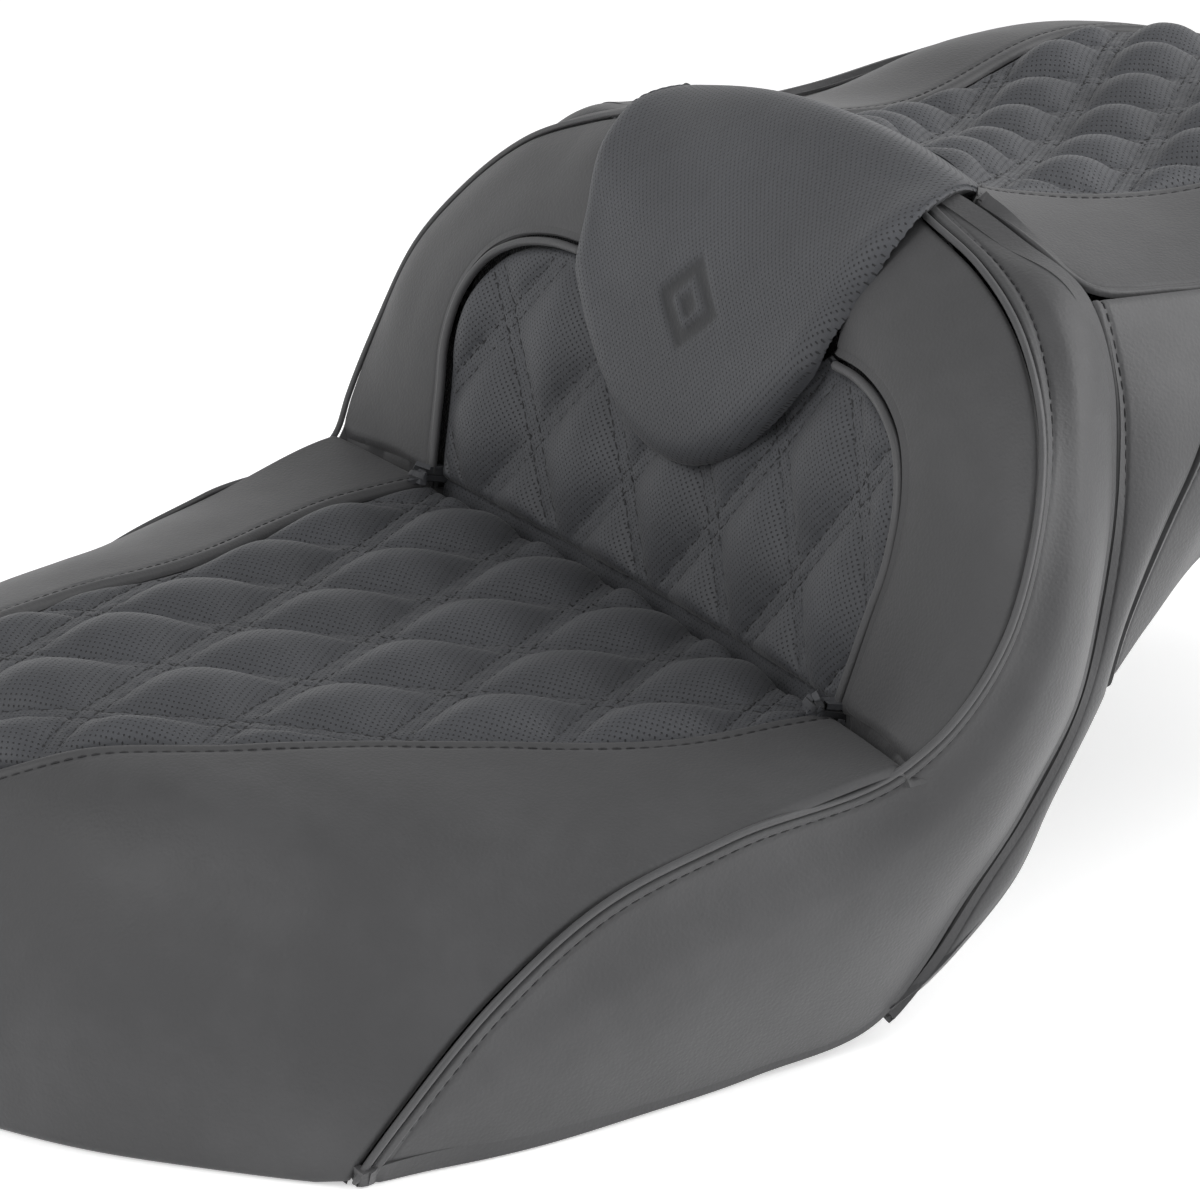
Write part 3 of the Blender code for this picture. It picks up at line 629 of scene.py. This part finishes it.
ROW_REACH = 6.5           # from the seam round a quilt to the row of topstitching in the plain panel
t = np.linspace(0, 1, 360)
outer = np.stack([np.interp(t, (0, 0.66, 0.71, 1), (1.0, 0.03, 0.0, 0.0)),
                  np.interp(t, (0, 0.70, 1), (0.994, 0.994, 0.0))], -1)
base = round_the_end(seat, SEAT_EDGE, SEAT_QUILT, (1.0, 0.0), outer, spread(50, 0.85))
run = arc_lengths(base, 0)
inner_gap, outer_gap = run, run[-1:] - run
height = -turned_in(inner_gap, 3.0) - turned_in(outer_gap, 3.0)
height = height - 0.6 * np.exp(-((inner_gap - ROW_REACH) / 1.0) ** 2)
height = height + 0.5 * np.exp(-((inner_gap - 3.8) / 1.6) ** 2)
x, y = base[..., 0], base[..., 1]
height = height + 0.5 * np.sin(x / 23 + 2 * np.sin(y / 41)) * np.sin(y / 31) * smooth(inner_gap, 5, 30)
height = height - turned_in(np.clip(crease(x) - y, 0, None), 6.0)
face = raised(base, height, UP)
rider_top = panel("rider_top", face, flat_of(base), UP, plain_vinyl)
cover(rider_top, "plain_vinyl", "rider_top_panel", fill=0.85)
edge = face[-1][(base[-1][:, 2] < -114)]
nose_hem = np.concatenate([edge[None], hem_return(edge)])
piece = panel("nose_hem", nose_hem, flat_of(nose_hem), (0, 0, -1), plain_vinyl)
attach(piece, "seat")
stitches("rider_top_stitches", [line_at(face, inner_gap, ROW_REACH, UP)])


# ==== The backrest's quilt ====
# The same perforated vinyl on the wall behind the rider, sewn in the same diamonds: a low band under
# the tongue with an arched wing to each side of it. Its edge rolls deep into the seam round the wings.

def wall(x, z):
    """The backrest wall, over its width and height."""
    foot = -11 + 11 * (x / 214) ** 2
    below = np.clip((41 - z) / 41, 0, 1)
    outer = 228 - 14 * below ** 2
    radius = np.hypot(x / outer, np.clip(z - 41, 0, None) / 125)
    strength = smooth(z, -25, 70) * (0.5 + 0.5 * smooth(np.abs(x), 70, 130))
    roll = 28 * strength * np.clip((radius - 0.72) / 0.28, 0, None) ** 2
    return points(x, crease(x) + 0.27 * (z - foot) + roll, z)


LEAN = 1.036              # length up the leaning wall for each millimetre of height
WING = Path((150, -4), (156, 28), (160, 50), (157, 69), (146, 85), (130, 94), (110, 98.5), (86, 99))
UNDER_TONGUE = Path((86, 99), (72, 88), (48, 68), (24, 60), (0, 57))
wall_diamonds = Diamonds(32.0, 42.5, 67.5)
wing_outline = WING.at(np.linspace(0, 1, 90))


def wall_foot(x):
    return -11 + 11 * (x / 214) ** 2


def wall_quilt_height(x, z):
    seam = seam_distance(x, z, wing_outline)
    fold = np.clip(z - wall_foot(x) - 1, 0, None)
    pillows = wall_diamonds.height(x, z * LEAN, 7.0, np.minimum(seam, fold * 1.6))
    return pillows - 2.2 - turned_in(seam, 4.5) - turned_in(fold, 4.0)


wing = WING.at(np.linspace(0.0, 1, 150))
middle = UNDER_TONGUE.at(np.linspace(0.02, 1, 60)) + (0, 4)
top = np.concatenate([wing - (0.1, 0.1), middle])
top[-1, 0] = 0.0
foot_x = np.interp(np.linspace(0, 1, len(top)), (0, 0.3, 1), (149.9, 118, 0))
foot = np.stack([foot_x, wall_foot(foot_x) - 9], axis=-1)
rows = spread(84, 0.8)[:, None, None]
half = foot[None] * (1 - rows) + top[None] * rows
whole = np.concatenate([half, half[:, -2::-1] * (-1, 1)], axis=1)
x, z = whole[..., 0], whole[..., 1]
face = raised(wall(x, z), wall_quilt_height(x, z), FORWARD)
backrest_quilt = panel("backrest_quilt", face, np.stack([x, z * LEAN], -1), FORWARD, quilt_vinyl)
cover(backrest_quilt, "quilted_vinyl", "backrest_quilt_panel", fill=0.8)


def wall_quilt_lines():
    under = UNDER_TONGUE.at(np.linspace(1, 0, 50))

    def inside(x, length):
        z = length / LEAN
        width = np.interp(z, wing_outline[:, 1], wing_outline[:, 0])
        cap = np.where(np.abs(x) < 86, np.interp(np.abs(x), under[:, 0], under[:, 1]) + 3, 96)
        return (np.abs(x) < width - 4) & (z < cap) & (z > wall_foot(x) + 5)

    runs = [(x, length / LEAN) for x, length in wall_diamonds.rows(165, inside)]
    return stitch_lines(wall, wall_quilt_height, runs, FORWARD)


stitches("backrest_quilt_stitches", wall_quilt_lines())


# ==== The backrest's bolsters and the piping round the wings ====
# Plain vinyl over the foam between each wing and the main seam. A thick piping stands in the seam
# round the wing, with a row of topstitching just outside it.

MAIN_SEAM = Path((191, -200, -116), (199, -186, -92), (203, -151, -55), (203, -113, -31), (206, -66, -16),
                 (214, 0, 0), (221, 9, 12), (227, 27, 41), (221, 43, 75), (203, 58, 102), (175, 70, 125),
                 (133, 80, 142), (96, 82, 152), (80, 84, 156))


def cord_finish():
    made = Finish("piping_finish", Specular_IOR_Level=0.45, Sheen_Weight=0.08)
    pebble, cloudy = made.cells(1100.0, "SMOOTH_F1"), made.noise(60.0, 3.0)
    tone = made.mix(cloudy, shade(PLAIN_GREY, 0.95), shade(PLAIN_GREY, 1.35))
    return made.finish(Base_Color=tone, Roughness=0.42 + 0.12 * cloudy,
                       Normal=made.bump(pebble * -0.8 + 0.3 * made.noise(1500.0), 0.00010))


piping_vinyl = cord_finish()


def piping(name, line, radius, node, sides=12):
    """Vinyl wrapped round a cord and sewn into a seam, as a closed tube along a line of points."""
    tangent = unit(np.gradient(line, axis=0))
    across = unit(np.cross(tangent, (0.31, -0.62, 0.72)))
    other = np.cross(tangent, across)
    angle = np.linspace(0, 2 * math.pi, sides, endpoint=False)[None, :, None]
    size = np.full(len(line), radius)
    size[[0, -1]] = radius * 0.55
    ring = (across[:, None] * np.cos(angle) + other[:, None] * np.sin(angle)) * size[:, None, None]
    index = np.arange(len(line) * sides).reshape(len(line), sides)
    beside = np.roll(index, -1, axis=1)
    faces = np.stack([index[:-1], beside[:-1], beside[1:], index[1:]], -1).reshape(-1, 4).tolist()
    faces += [index[0, ::-1].tolist(), index[-1].tolist()]
    cover(add_mesh(name, (line[:, None] + ring).reshape(-1, 3), faces, piping_vinyl), "piping_vinyl", node)


share = np.linspace(0.0, 1, 190)
inner = WING.at(share) + np.stack([np.interp(share, (0, 0.6, 1), (3.4, 2.6, 3.0)),
                                   np.interp(share, (0, 0.4, 0.7, 1), (0.0, 1.8, 3.2, 3.6))], -1)
seam = MAIN_SEAM.at(np.linspace(0.475, 0.985, 190))
outer = seam[:, [0, 2]]
set_back = np.pad(seam[:, 1] - wall(seam[:, 0], seam[:, 2])[:, 1], (2, 0), mode="edge")
centre = np.array((140.0, 45.0))
outer = outer + unit(centre - outer)
inner, outer = (np.concatenate([line[:1] - (draw, 9), line[:1] - (draw / 3, 4), line])
                for line, draw in ((inner, 0), (outer, 12)))
rows = spread(46, 0.8)[:, None, None]
plan = inner[None] * (1 - rows) + outer[None] * rows
base = wall(plan[..., 0], plan[..., 1]) + points(0, set_back * smooth(rows[..., 0], 0.4, 1.0), 0)
run = arc_lengths(base, 0)
gap, rim_gap = run, run[-1:] - run
foot_gap = np.clip(plan[..., 1] - wall_foot(plan[..., 0]) - 1, 0, None)
height = (-turned_in(gap, 1.5) - turned_in(rim_gap, 2.5) - turned_in(foot_gap, 4.0)
          - 0.8 * np.exp(-((gap - 2.4) / 0.9) ** 2))
face = raised(base, height, FORWARD)
cord = WING.at(np.linspace(0.0, 0.985, 90)) + (1.7, 1.0)
cord = np.concatenate([cord[:1] - (0, 12), cord])
wing_cord = wall(*cord.T) + (0, -0.4, 0)
row = line_at(face, gap, 2.4, FORWARD)
for name, turn in (("left", 1), ("right", -1)):
    flip = (turn, 1, 1)
    piece = panel("backrest_bolster_" + name + "_cover", face * flip, flat_of(base), FORWARD,
                  plain_vinyl, tuck=7.0)
    cover(piece, "plain_vinyl", "backrest_bolster_" + name, fill=0.8)
    piping("wing_piping_" + name + "_cord", wing_cord * flip, 1.75, "wing_piping_" + name)
    stitches("wing_stitches_" + name, [(row[0] * flip, row[1] * flip)])


# ==== The tongue ====
# The raised pad in the middle of the backrest: perforated vinyl over soft foam, from its rounded lower
# end up over the ridge. A plain lozenge is pressed into its middle.

TONGUE_MIDDLE = Path((38, 41), (40, 60), (47, 85), (55, 110), (65, 132), (77, 152), (98, 168), (113, 163))
TONGUE_EDGE = Path((84, 47, 94), (88, 50, 105), (95, 60, 124), (100, 70, 142), (101, 81, 153),
                   (96, 99, 157), (91, 113, 151))


def tongue(along, side):
    middle, edge = TONGUE_MIDDLE.at(along), TONGUE_EDGE.at(along)
    z = middle[..., 1] + (edge[..., 2] - middle[..., 1]) * side ** 2
    y = middle[..., 0] + (edge[..., 1] - middle[..., 0]) * side ** 2
    return points(side * edge[..., 0], y, z)


along, side = mesh_grid(spread(130, 0.75), spread(150, 0.75) * 2 - 1)
base = tongue(along, side)
outline = np.concatenate([base[::-3, 0], base[0, ::3], base[::3, -1]])
d = np.clip(distance_to(base, outline) / 12.0, 0, 1)
crown = np.sqrt(1 - (1 - d) ** 2.2) * (1 - 0.8 * smooth(along, 0.45, 0.8))
centre = TONGUE_MIDDLE.at(along)
across, up = base[..., 0], base[..., 2] - centre[..., 1]
run = arc_lengths(base[:, 75:76], 0) + 0.96 * up + 0.27 * (base[..., 1] - centre[..., 0])
lozenge = np.abs(across - 2) / 22 + np.abs(base[..., 2] - 99.0) / 18
# Where mark is 1 the lozenge is pressed in, and the vinyl paints it darker as shade in that recess.
mark = (1 - smooth(lozenge, 0.92, 1.0)) * (1 - smooth(lozenge, 0.56, 0.50) * smooth(lozenge, 0.26, 0.32))
lift = 2.0 + 8.5 * crown
face = raised(base, lift - 1.0 * mark, (0, -1, 0.5))
pad_face = raised(base, lift - 4.0, (0, -1, 0.5))[10:-10, 10:-10]
backrest_tongue = panel("backrest_tongue", face, np.stack([across, run], -1), (0, -1, 0.5), quilt_vinyl,
                        {"mark": mark}, tuck=7.0)
cover(backrest_tongue, "quilted_vinyl", "backrest_tongue_panel", fill=0.9)


# ==== The side panels ====
# Plain vinyl down each side, in three parts sewn end to end: under the rider, behind the shoulder and
# under the passenger. Each has a rolled lip along its top seam with a row of topstitching under it.

REAR_SEAM = Path((190.5, -197, -116), (195, -150, -116), (195, -100, -116), (191, -45, -115),
                 (190, 6, -107), (190, 26, -89), (193, 42, -64), (197, 60, -36), (198, 80, 0),
                 (194, 92, 36), (187, 101, 78), (178, 105, 108), (163, 105, 133), (132, 102, 146),
                 (100, 98, 156), (84, 97, 158))
SIDE_TOP = Path((162, 173, 128), (164, 205, 130), (169, 255, 136), (172, 300, 140), (169, 340, 137),
                (161, 373, 128), (147, 391, 115))
MIDDLE_SEAM = Path((162, 173, 128), (178, 155, 106), (187, 139, 82), (190, 123, 58), (190, 115, 41),
                   (189, 106, 17), (187, 101, -4))
MIDDLE_HEM = Path((187, 101, -4), (190, 80, -35), (191, 62, -66), (191, 38, -88), (191, 10, -107))
SIDE_HEM = Path((187, 101, -4), (180, 126, 14), (172, 150, 30), (166, 185, 43), (163, 240, 50),
                (164, 310, 51), (158, 360, 53), (143, 396, 55))
SIDE_REAR = Path((147, 391, 115), (150, 398, 86), (143, 396, 55))


def patch(top, bottom, front, rear, along, down, bulge):
    """A surface stretched over four edge lines, pushed out by bulge millimetres in the middle."""
    a, d = along[..., None], down[..., None]
    lines = top.at(along) * (1 - d) + bottom.at(along) * d + front.at(down) * (1 - a) + rear.at(down) * a
    corners = ((top.at(0.0) * (1 - a) + top.at(1.0) * a) * (1 - d)
               + (bottom.at(0.0) * (1 - a) + bottom.at(1.0) * a) * d)
    push = bulge * 16 * along * (1 - along) * down * (1 - down)
    return lines - corners + points(push, 0, 0)


def rider_side(along, down):
    """The large side panel, ruled from the main seam to its hem and rear seam, and bulged."""
    top, bottom = MAIN_SEAM.at(along), REAR_SEAM.at(along)
    push = 13 * np.sin(math.pi * down) * smooth(down, 0.0, 0.35)
    push = push * smooth(along, 0.0, 0.35) * (1 - 0.95 * smooth(along, 0.78, 0.93))
    climb = smooth(along, 0.62, 0.95)
    bulge = points(push * (1 - climb), 0.3 * push * climb, push * climb)
    return top + (bottom - top) * down[..., None] + bulge


def side_cover(name, base, hem, height, rows, tuck):
    """A side panel on the left and the right, with its rows of stitches. Its hem is its whole lower edge,
    or a strip of its own along the front of that edge or the lower half of the rear one."""
    face = raised(base, height, OUTWARD)
    lines = []
    for axis, gap, reach in rows:
        grid, gap = (face, gap) if axis == 0 else (face.transpose(1, 0, 2), gap.T)
        lines.append(line_at(grid, gap, reach, OUTWARD))
    fold = None
    if hem == "all":
        face = np.concatenate([face, hem_return(face[-1])])
    else:
        front = face[-1][(face[-1][:, 1] < 10) & (face[-1][:, 2] < -96)]
        edge = front if hem == "front" else face[len(face) // 2:, -1]
        fold = np.concatenate([edge[None], hem_return(edge)])
    flat = flat_of(face)
    for which, turn in (("left", 1), ("right", -1)):
        flip = np.array((turn, 1, 1))
        side = name + "_" + which
        piece = panel(side + "_cover", face * flip, flat, (turn, 0, 0), plain_vinyl, tuck=tuck)
        cover(piece, "plain_vinyl", side, fill=0.7)
        if fold is not None:
            piece = panel(name + "_hem_" + which, fold * flip, flat_of(fold), (0, 0, -1), plain_vinyl,
                          tuck=2.0)
            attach(piece, "seat")
        stitches(name + "_stitches_" + which, [(low * flip, high * flip) for low, high in lines])


def ripples(base, amount):
    """The slight unevenness of vinyl stretched by hand over foam."""
    y, z = base[..., 1], base[..., 2]
    broad = np.sin(y / 37 + 1.7 * np.sin(z / 29)) * np.sin(z / 23 + y / 61)
    return amount * (broad + 0.4 * np.sin(y / 13 + z / 17))


down, along = mesh_grid(spread(70, 0.8), np.linspace(0.004, 0.993, 330))
height_of_side = np.linalg.norm(MAIN_SEAM.at(along) - REAR_SEAM.at(along), axis=-1)
margin = 1.6 / height_of_side
base = rider_side(along, margin + (1 - 1.3 * margin) * down)
run = arc_lengths(base, 0)
top_gap, low_gap = run, run[-1:] - run
height = (lip(top_gap) - turned_in(top_gap, 1.6) - turned_in(low_gap, 0.9)
          + ripples(base, 0.6) * smooth(top_gap, 4, 30))
side_cover("rider_side_panel", base, "front", height, [(0, top_gap, 5.2)], 8.0)

down, share = mesh_grid(np.linspace(0.006, 0.985, 150), np.linspace(0.0, 1, 70))
front = REAR_SEAM.at(0.848 - 0.484 * down) + (0.3, 0.5, 0)
back = np.where(down[..., None] < 0.5, MIDDLE_SEAM.at(down * 2), MIDDLE_HEM.at(down * 2 - 1))
base = front + (back - front) * share[..., None] + points(80 * share * (1 - share) * down * (1 - down), 0,
                                                          3.5 * (1 - smooth(down, 0.0, 0.1)))
front_gap = arc_lengths(base, 1)
rear_gap, top_gap = front_gap[:, -1:] - front_gap, arc_lengths(base, 0)
height = (lip(front_gap, 3.6, 0.3) - turned_in(front_gap, 0.7)
          - turned_in(rear_gap, 1.5) - turned_in(top_gap, 1.2)
          + ripples(base, 0.4) * smooth(front_gap, 4, 30))
side_cover("middle_side_panel", base, "rear", height, [(1, front_gap, 4.2)], 3.5)

down, share = mesh_grid(spread(80, 0.8), np.linspace(0.003, 0.995, 180))
base = patch(SIDE_TOP, SIDE_HEM, MIDDLE_SEAM, SIDE_REAR, share, 1.01 * down - 0.01, 5.0)
base = base + points(0, 0, 2.5 * (1 - smooth(down, 0.0, 0.15)))
top_gap, front_gap = arc_lengths(base, 0), arc_lengths(base, 1)
height = (lip(front_gap, 4.0, 0.9) - turned_in(top_gap, 1.6) - turned_in(top_gap[-1:] - top_gap, 3.0)
          - turned_in(front_gap, 1.5) - turned_in(front_gap[:, -1:] - front_gap, 2.0)
          + ripples(base, 0.5) * smooth(top_gap, 4, 30))
side_cover("pillion_side_panel", base, "all", height, [(0, top_gap, 4.2), (1, front_gap, 4.8)], 4.0)


# ==== The passenger's quilt and the plain panel round it ====
# The passenger's seat is made as the rider's is: a quilted panel, tapering forward to the ridge, set in
# plain vinyl that runs round it and over the tail.

PILLION_MIDDLE = Path((98, 172), (112, 166), (132, 157), (165, 149), (205, 146), (245, 149),
                      (285, 154), (320, 156), (360, 152), (398, 144), (421, 132), (430, 116))
PILLION_EDGE = Path((96, 101, 156), (132, 104, 146), (157, 110, 135), (160, 145, 130),
                    (163, 205, 131), (168, 255, 137), (171, 300, 141), (168, 340, 138),
                    (160, 372, 129), (146, 390, 116))
PILLION_QUILT = Path((85, 114), (78, 135), (78, 165), (82, 198), (95, 250), (106, 300), (107, 340),
                     (92, 376), (55, 400), (0, 408))


def pillion(along, side):
    """The passenger's seat: along runs from 0 at the ridge to 1 at the tail."""
    dish = 14.0 * smooth(along, 0.35, 0.6) * (1 - smooth(along, 0.75, 0.95))
    fall = 3.5 + 3.0 * smooth(along, 0.3, 0.6)
    return ribs(PILLION_MIDDLE.at(along), PILLION_EDGE.at(along), dish, fall, side)


def pillion_top_at(x, y):
    return pillion(*from_above(pillion, PILLION_EDGE, x, y))


pillion_diamonds = Diamonds(27.0, 30.0, 209.0)
pillion_outline = PILLION_QUILT.at(np.linspace(0, 1, 120))


def pillion_quilt_height(x, y):
    seam = np.minimum(seam_distance(x, y, pillion_outline), np.abs(y - 116))
    return pillion_diamonds.height(x, y, 8.5, seam) - 2.2 - turned_in(seam, 3.5)


share, side = mesh_grid(np.linspace(0.012, 0.994, 200), spread(140, 0.75) * 2 - 1)
plan = PILLION_QUILT.at(share)
x, y = side * (plan[..., 0] - 0.1), plan[..., 1]
face = raised(pillion_top_at(x, y), pillion_quilt_height(x, y), UP)
pillion_quilt = panel("pillion_quilt", face, np.stack([x, y], -1), UP, quilt_vinyl)
cover(pillion_quilt, "quilted_vinyl", "pillion_quilt_panel", fill=0.8)


def pillion_quilt_lines():
    def inside(x, y):
        half = np.interp(y, pillion_outline[:, 1], pillion_outline[:, 0])
        return (np.abs(x) < half - 2.5) & (y > 119) & (y < 404)

    runs = pillion_diamonds.rows(112, inside)
    return stitch_lines(pillion_top_at, pillion_quilt_height, runs, UP)


stitches("pillion_quilt_stitches", pillion_quilt_lines())

t = np.linspace(0, 1, 300)
outer = np.stack([np.interp(t, (0, 0.66, 0.74, 1), (0.02, 0.94, 0.998, 0.998)),
                  np.interp(t, (0, 0.62, 0.70, 0.76, 1), (0.997, 0.997, 0.985, 0.93, 0.0))], -1)
base = round_the_end(pillion, PILLION_EDGE, PILLION_QUILT, (0.0, 1.0), outer, spread(44, 0.85))
run = arc_lengths(base, 0)
inner_gap, outer_gap = run, run[-1:] - run
height = (-turned_in(inner_gap, 3.0) + lip(outer_gap, 4.0, 0.7) - turned_in(outer_gap, 1.6)
          - 0.6 * np.exp(-((inner_gap - ROW_REACH) / 1.0) ** 2)
          + ripples(base, 0.4) * smooth(inner_gap, 5, 25))
face = raised(base, height, UP)
pillion_top = panel("pillion_top", face, flat_of(base), UP, plain_vinyl)
cover(pillion_top, "plain_vinyl", "pillion_top_panel", fill=0.85)
stitches("pillion_top_stitches", [line_at(face, inner_gap, ROW_REACH, UP)])


# ==== The tail panel ====
# A plain panel across the tail, with the same rolled lip and row of stitches, pulled under the pan.

TAIL_TOP = Path((147, 391, 115), (100, 412, 116), (50, 426, 116), (0, 430, 116))
TAIL_HEM = Path((143, 396, 55), (98, 414, 56), (50, 426, 57), (0, 430, 57))
TAIL_MIDDLE = Path((0, 430, 116), (0, 433, 86), (0, 430, 57))
down, along = mesh_grid(0.03 + 0.97 * spread(50, 0.8), np.linspace(0.006, 1, 130))
half = patch(TAIL_TOP, TAIL_HEM, SIDE_REAR, TAIL_MIDDLE, along, down, 0.0)
base = np.concatenate([half, half[:, -2::-1] * (-1, 1, 1)], axis=1)
run = arc_lengths(base, 0)
across = arc_lengths(base, 1)
ends = turned_in(across, 2.0) + turned_in(across[:, -1:] - across, 2.0)
height = lip(run) - turned_in(run, 1.6) - turned_in(run[-1:] - run, 3.0) - ends + ripples(base, 0.4)
face = raised(base, height, (0, 1, 0))
row = line_at(face, run, 5.2, (0, 1, 0))
face = np.concatenate([face, hem_return(face[-1])])
tail_cover = panel("tail_cover", face, flat_of(face), (0, 1, 0), plain_vinyl)
cover(tail_cover, "plain_vinyl", "tail_panel", fill=0.7)
stitches("tail_stitches", [row])


# ==== The main seam's piping ====
# A thin piping sewn into the seam that runs from the nose up round the backrest on each side.

seam = MAIN_SEAM.at(np.linspace(0.004, 0.985, 260))
centre = np.array((0.0, 30.0, 0.0))
seam = seam + unit(seam - centre) * 0.3
for name, turn in (("left", 1), ("right", -1)):
    piping("main_seam_piping_" + name + "_cord", seam * (turn, 1, 1), 1.3, "main_seam_piping_" + name)


# ==== The foam ====
# Moulded polyurethane foam under the covers: the rider's, the backrest's, the passenger's, and a thin
# pad under the tongue. The foam is charcoal grey and open-celled.

def foam_finish():
    made = Finish("foam_finish", Specular_IOR_Level=0.2, Sheen_Weight=0.2)
    pores, cloudy = made.cells(900.0), made.noise(30.0, 4.0)
    tone = made.mix(cloudy, (0.022, 0.022, 0.024), (0.034, 0.034, 0.036))
    # The pores are real open cells; their near-black colour is painted shade inside them.
    tone = made.mix(pores.rise(0.1, 0.6), (0.012, 0.012, 0.013), tone)
    return made.finish(Base_Color=tone, Roughness=0.9 + 0.08 * cloudy, Normal=made.bump(pores, 0.0006))


foam = foam_finish()
select_all = bpy.ops.object.select_all
for node in ("rider_foam", "backrest_foam", "pillion_foam"):
    copy = bpy.data.objects.new(node + "_block", bpy.data.objects[node].data.copy())
    scene.collection.objects.link(copy)
    select_all(action="DESELECT")
    copy.select_set(True)
    bpy.context.view_layer.objects.active = copy
    bpy.ops.object.mode_set(mode="EDIT")
    bpy.ops.mesh.select_all(action="SELECT")
    bpy.ops.mesh.remove_doubles(threshold=0.0001)
    bpy.ops.object.mode_set(mode="OBJECT")
    remesh = copy.modifiers.new("remesh", "REMESH")
    remesh.mode = "VOXEL"
    remesh.voxel_size = 0.006
    bpy.ops.object.modifier_apply(modifier=remesh.name)
    copy.data.shade_smooth()
    copy.data.materials.clear()
    copy.data.materials.append(foam)
    cover(copy, "foam", node, fill=1.0)
tongue_pad = panel("tongue_pad", pad_face, flat_of(pad_face), (0, -1, 0.5), foam, thick=2.0, tuck=0.5)
cover(tongue_pad, "foam", "backrest_tongue_pad", fill=1.0)


# ==== The pan ====
# The black polypropylene moulding that carries everything, with a pebbled underside.

def moulded(name, colour, roughness, scale, depth):
    made = Finish(name, Specular_IOR_Level=0.4)
    pebble, cloudy = made.cells(scale, "SMOOTH_F1"), made.noise(22.0, 4.0)
    tone = made.mix(cloudy, shade(colour, 0.8), shade(colour, 1.35))
    return made.finish(Base_Color=tone, Roughness=roughness + 0.12 * (cloudy - 0.5),
                       Normal=made.bump(pebble * -1.0 + 0.3 * made.noise(700.0), depth))


plastic = moulded("pan_finish", (0.022, 0.022, 0.023), 0.5, 600.0, 0.0003)


def carried(node, finish):
    """A CAD node that stays as it is, with a better material."""
    for slot in bpy.data.objects[node].material_slots:
        slot.material = finish


carried("base_pan", plastic)


# ==== The hook, the tab, the screw and the feet ====
# Steel plates painted black and riveted to the pan, a plated thumb screw held by a washer, and rubber
# feet under the pan.

def painted_steel():
    made = Finish("painted_steel_finish", Specular_IOR_Level=0.5, Metallic=0.0)
    peel, cloudy = made.noise(420.0, 2.0), made.noise(40.0, 5.0)
    chips = cloudy.rise(0.68, 0.72)
    tone = made.mix(chips, (0.018, 0.018, 0.019), (0.22, 0.20, 0.18))
    return made.finish(Base_Color=tone, Roughness=0.32 + 0.2 * cloudy, Metallic=chips,
                       Normal=made.bump(peel, 0.0002))


def plated_steel():
    made = Finish("plated_steel_finish", Metallic=1.0)
    streak = made.noise(300.0, 4.0, stretch=(1, 1, 0.1))
    tone = made.mix(made.noise(60.0, 4.0), (0.52, 0.52, 0.50), (0.68, 0.66, 0.60))
    return made.finish(Base_Color=tone, Roughness=0.22 + 0.22 * streak, Normal=made.bump(streak, 0.00005))


black_steel, bright_steel = painted_steel(), plated_steel()
rubber = moulded("rubber_finish", (0.016, 0.016, 0.016), 0.72, 900.0, 0.0002)
for node in ("front_hook_plate", "hook_rivet_left", "hook_rivet_right", "rear_tab", "tab_rivet_left",
             "tab_rivet_right"):
    carried(node, black_steel)
for node in ("thumb_screw", "retaining_washer"):
    carried(node, bright_steel)
for place in ("front_foot", "middle_foot", "rear_foot"):
    for which in ("_left", "_right"):
        carried(place + which, rubber)


# ==== The studio ====
# A plain pale floor, a pale surround and large soft lights.

made = Finish("floor_finish", Specular_IOR_Level=0.1, Emission_Color=(1.0, 1.0, 1.0, 1.0),
              Emission_Strength=0.45)
cloudy = made.noise(6.0, 2.0)
pale = made.finish(Base_Color=made.mix(cloudy, (0.93, 0.93, 0.93), (0.96, 0.96, 0.96)),
                   Roughness=0.85 + 0.1 * cloudy)
select_all(action="DESELECT")
bpy.ops.mesh.primitive_plane_add(size=30.0, location=(0, 0, -0.0005))
floor = bpy.context.object
floor.name = "studio_floor"
floor.data.materials.append(pale)

world = bpy.data.worlds.new("surround")
world.use_nodes = True
sky = Link(world.node_tree)
height = sky.node("ShaderNodeSeparateXYZ", {}, {0: sky.node("ShaderNodeTexCoord", {}, {}, "Generated")}, 2)
background = sky.tree.nodes["Background"]
sky.tree.links.new((1.0 - 0.62 * height.rise(-0.05, 0.8)).socket, background.inputs["Strength"])
background.inputs["Color"].default_value = (1.0, 1.0, 1.0, 1.0)
scene.world = world


def soft_light(name, place, size, power):
    lamp = bpy.data.lights.new(name, "AREA")
    lamp.shape, lamp.size, lamp.energy = "SQUARE", size, power
    holder = bpy.data.objects.new(name, lamp)
    holder.location = place
    holder.rotation_euler = (Vector((0, 0, 0.1)) - Vector(place)).to_track_quat("-Z", "Y").to_euler()
    scene.collection.objects.link(holder)


soft_light("over_the_passenger", (0.5, 0.6, 1.0), 0.9, 8)
soft_light("from_the_rear", (1.6, 1.6, 1.0), 1.4, 19)
soft_light("from_the_nose", (0.2, -1.9, 1.7), 1.3, 18)

lens = bpy.data.cameras.new("camera")
lens.lens, lens.sensor_width = 116.8, 36.0
camera = bpy.data.objects.new("camera", lens)
camera.location = (1.205, -0.769, 0.613)
camera.rotation_euler = (math.radians(70), 0, math.radians(59.9))
scene.collection.objects.link(camera)
scene.camera = camera
scene.view_settings.view_transform = "Standard"
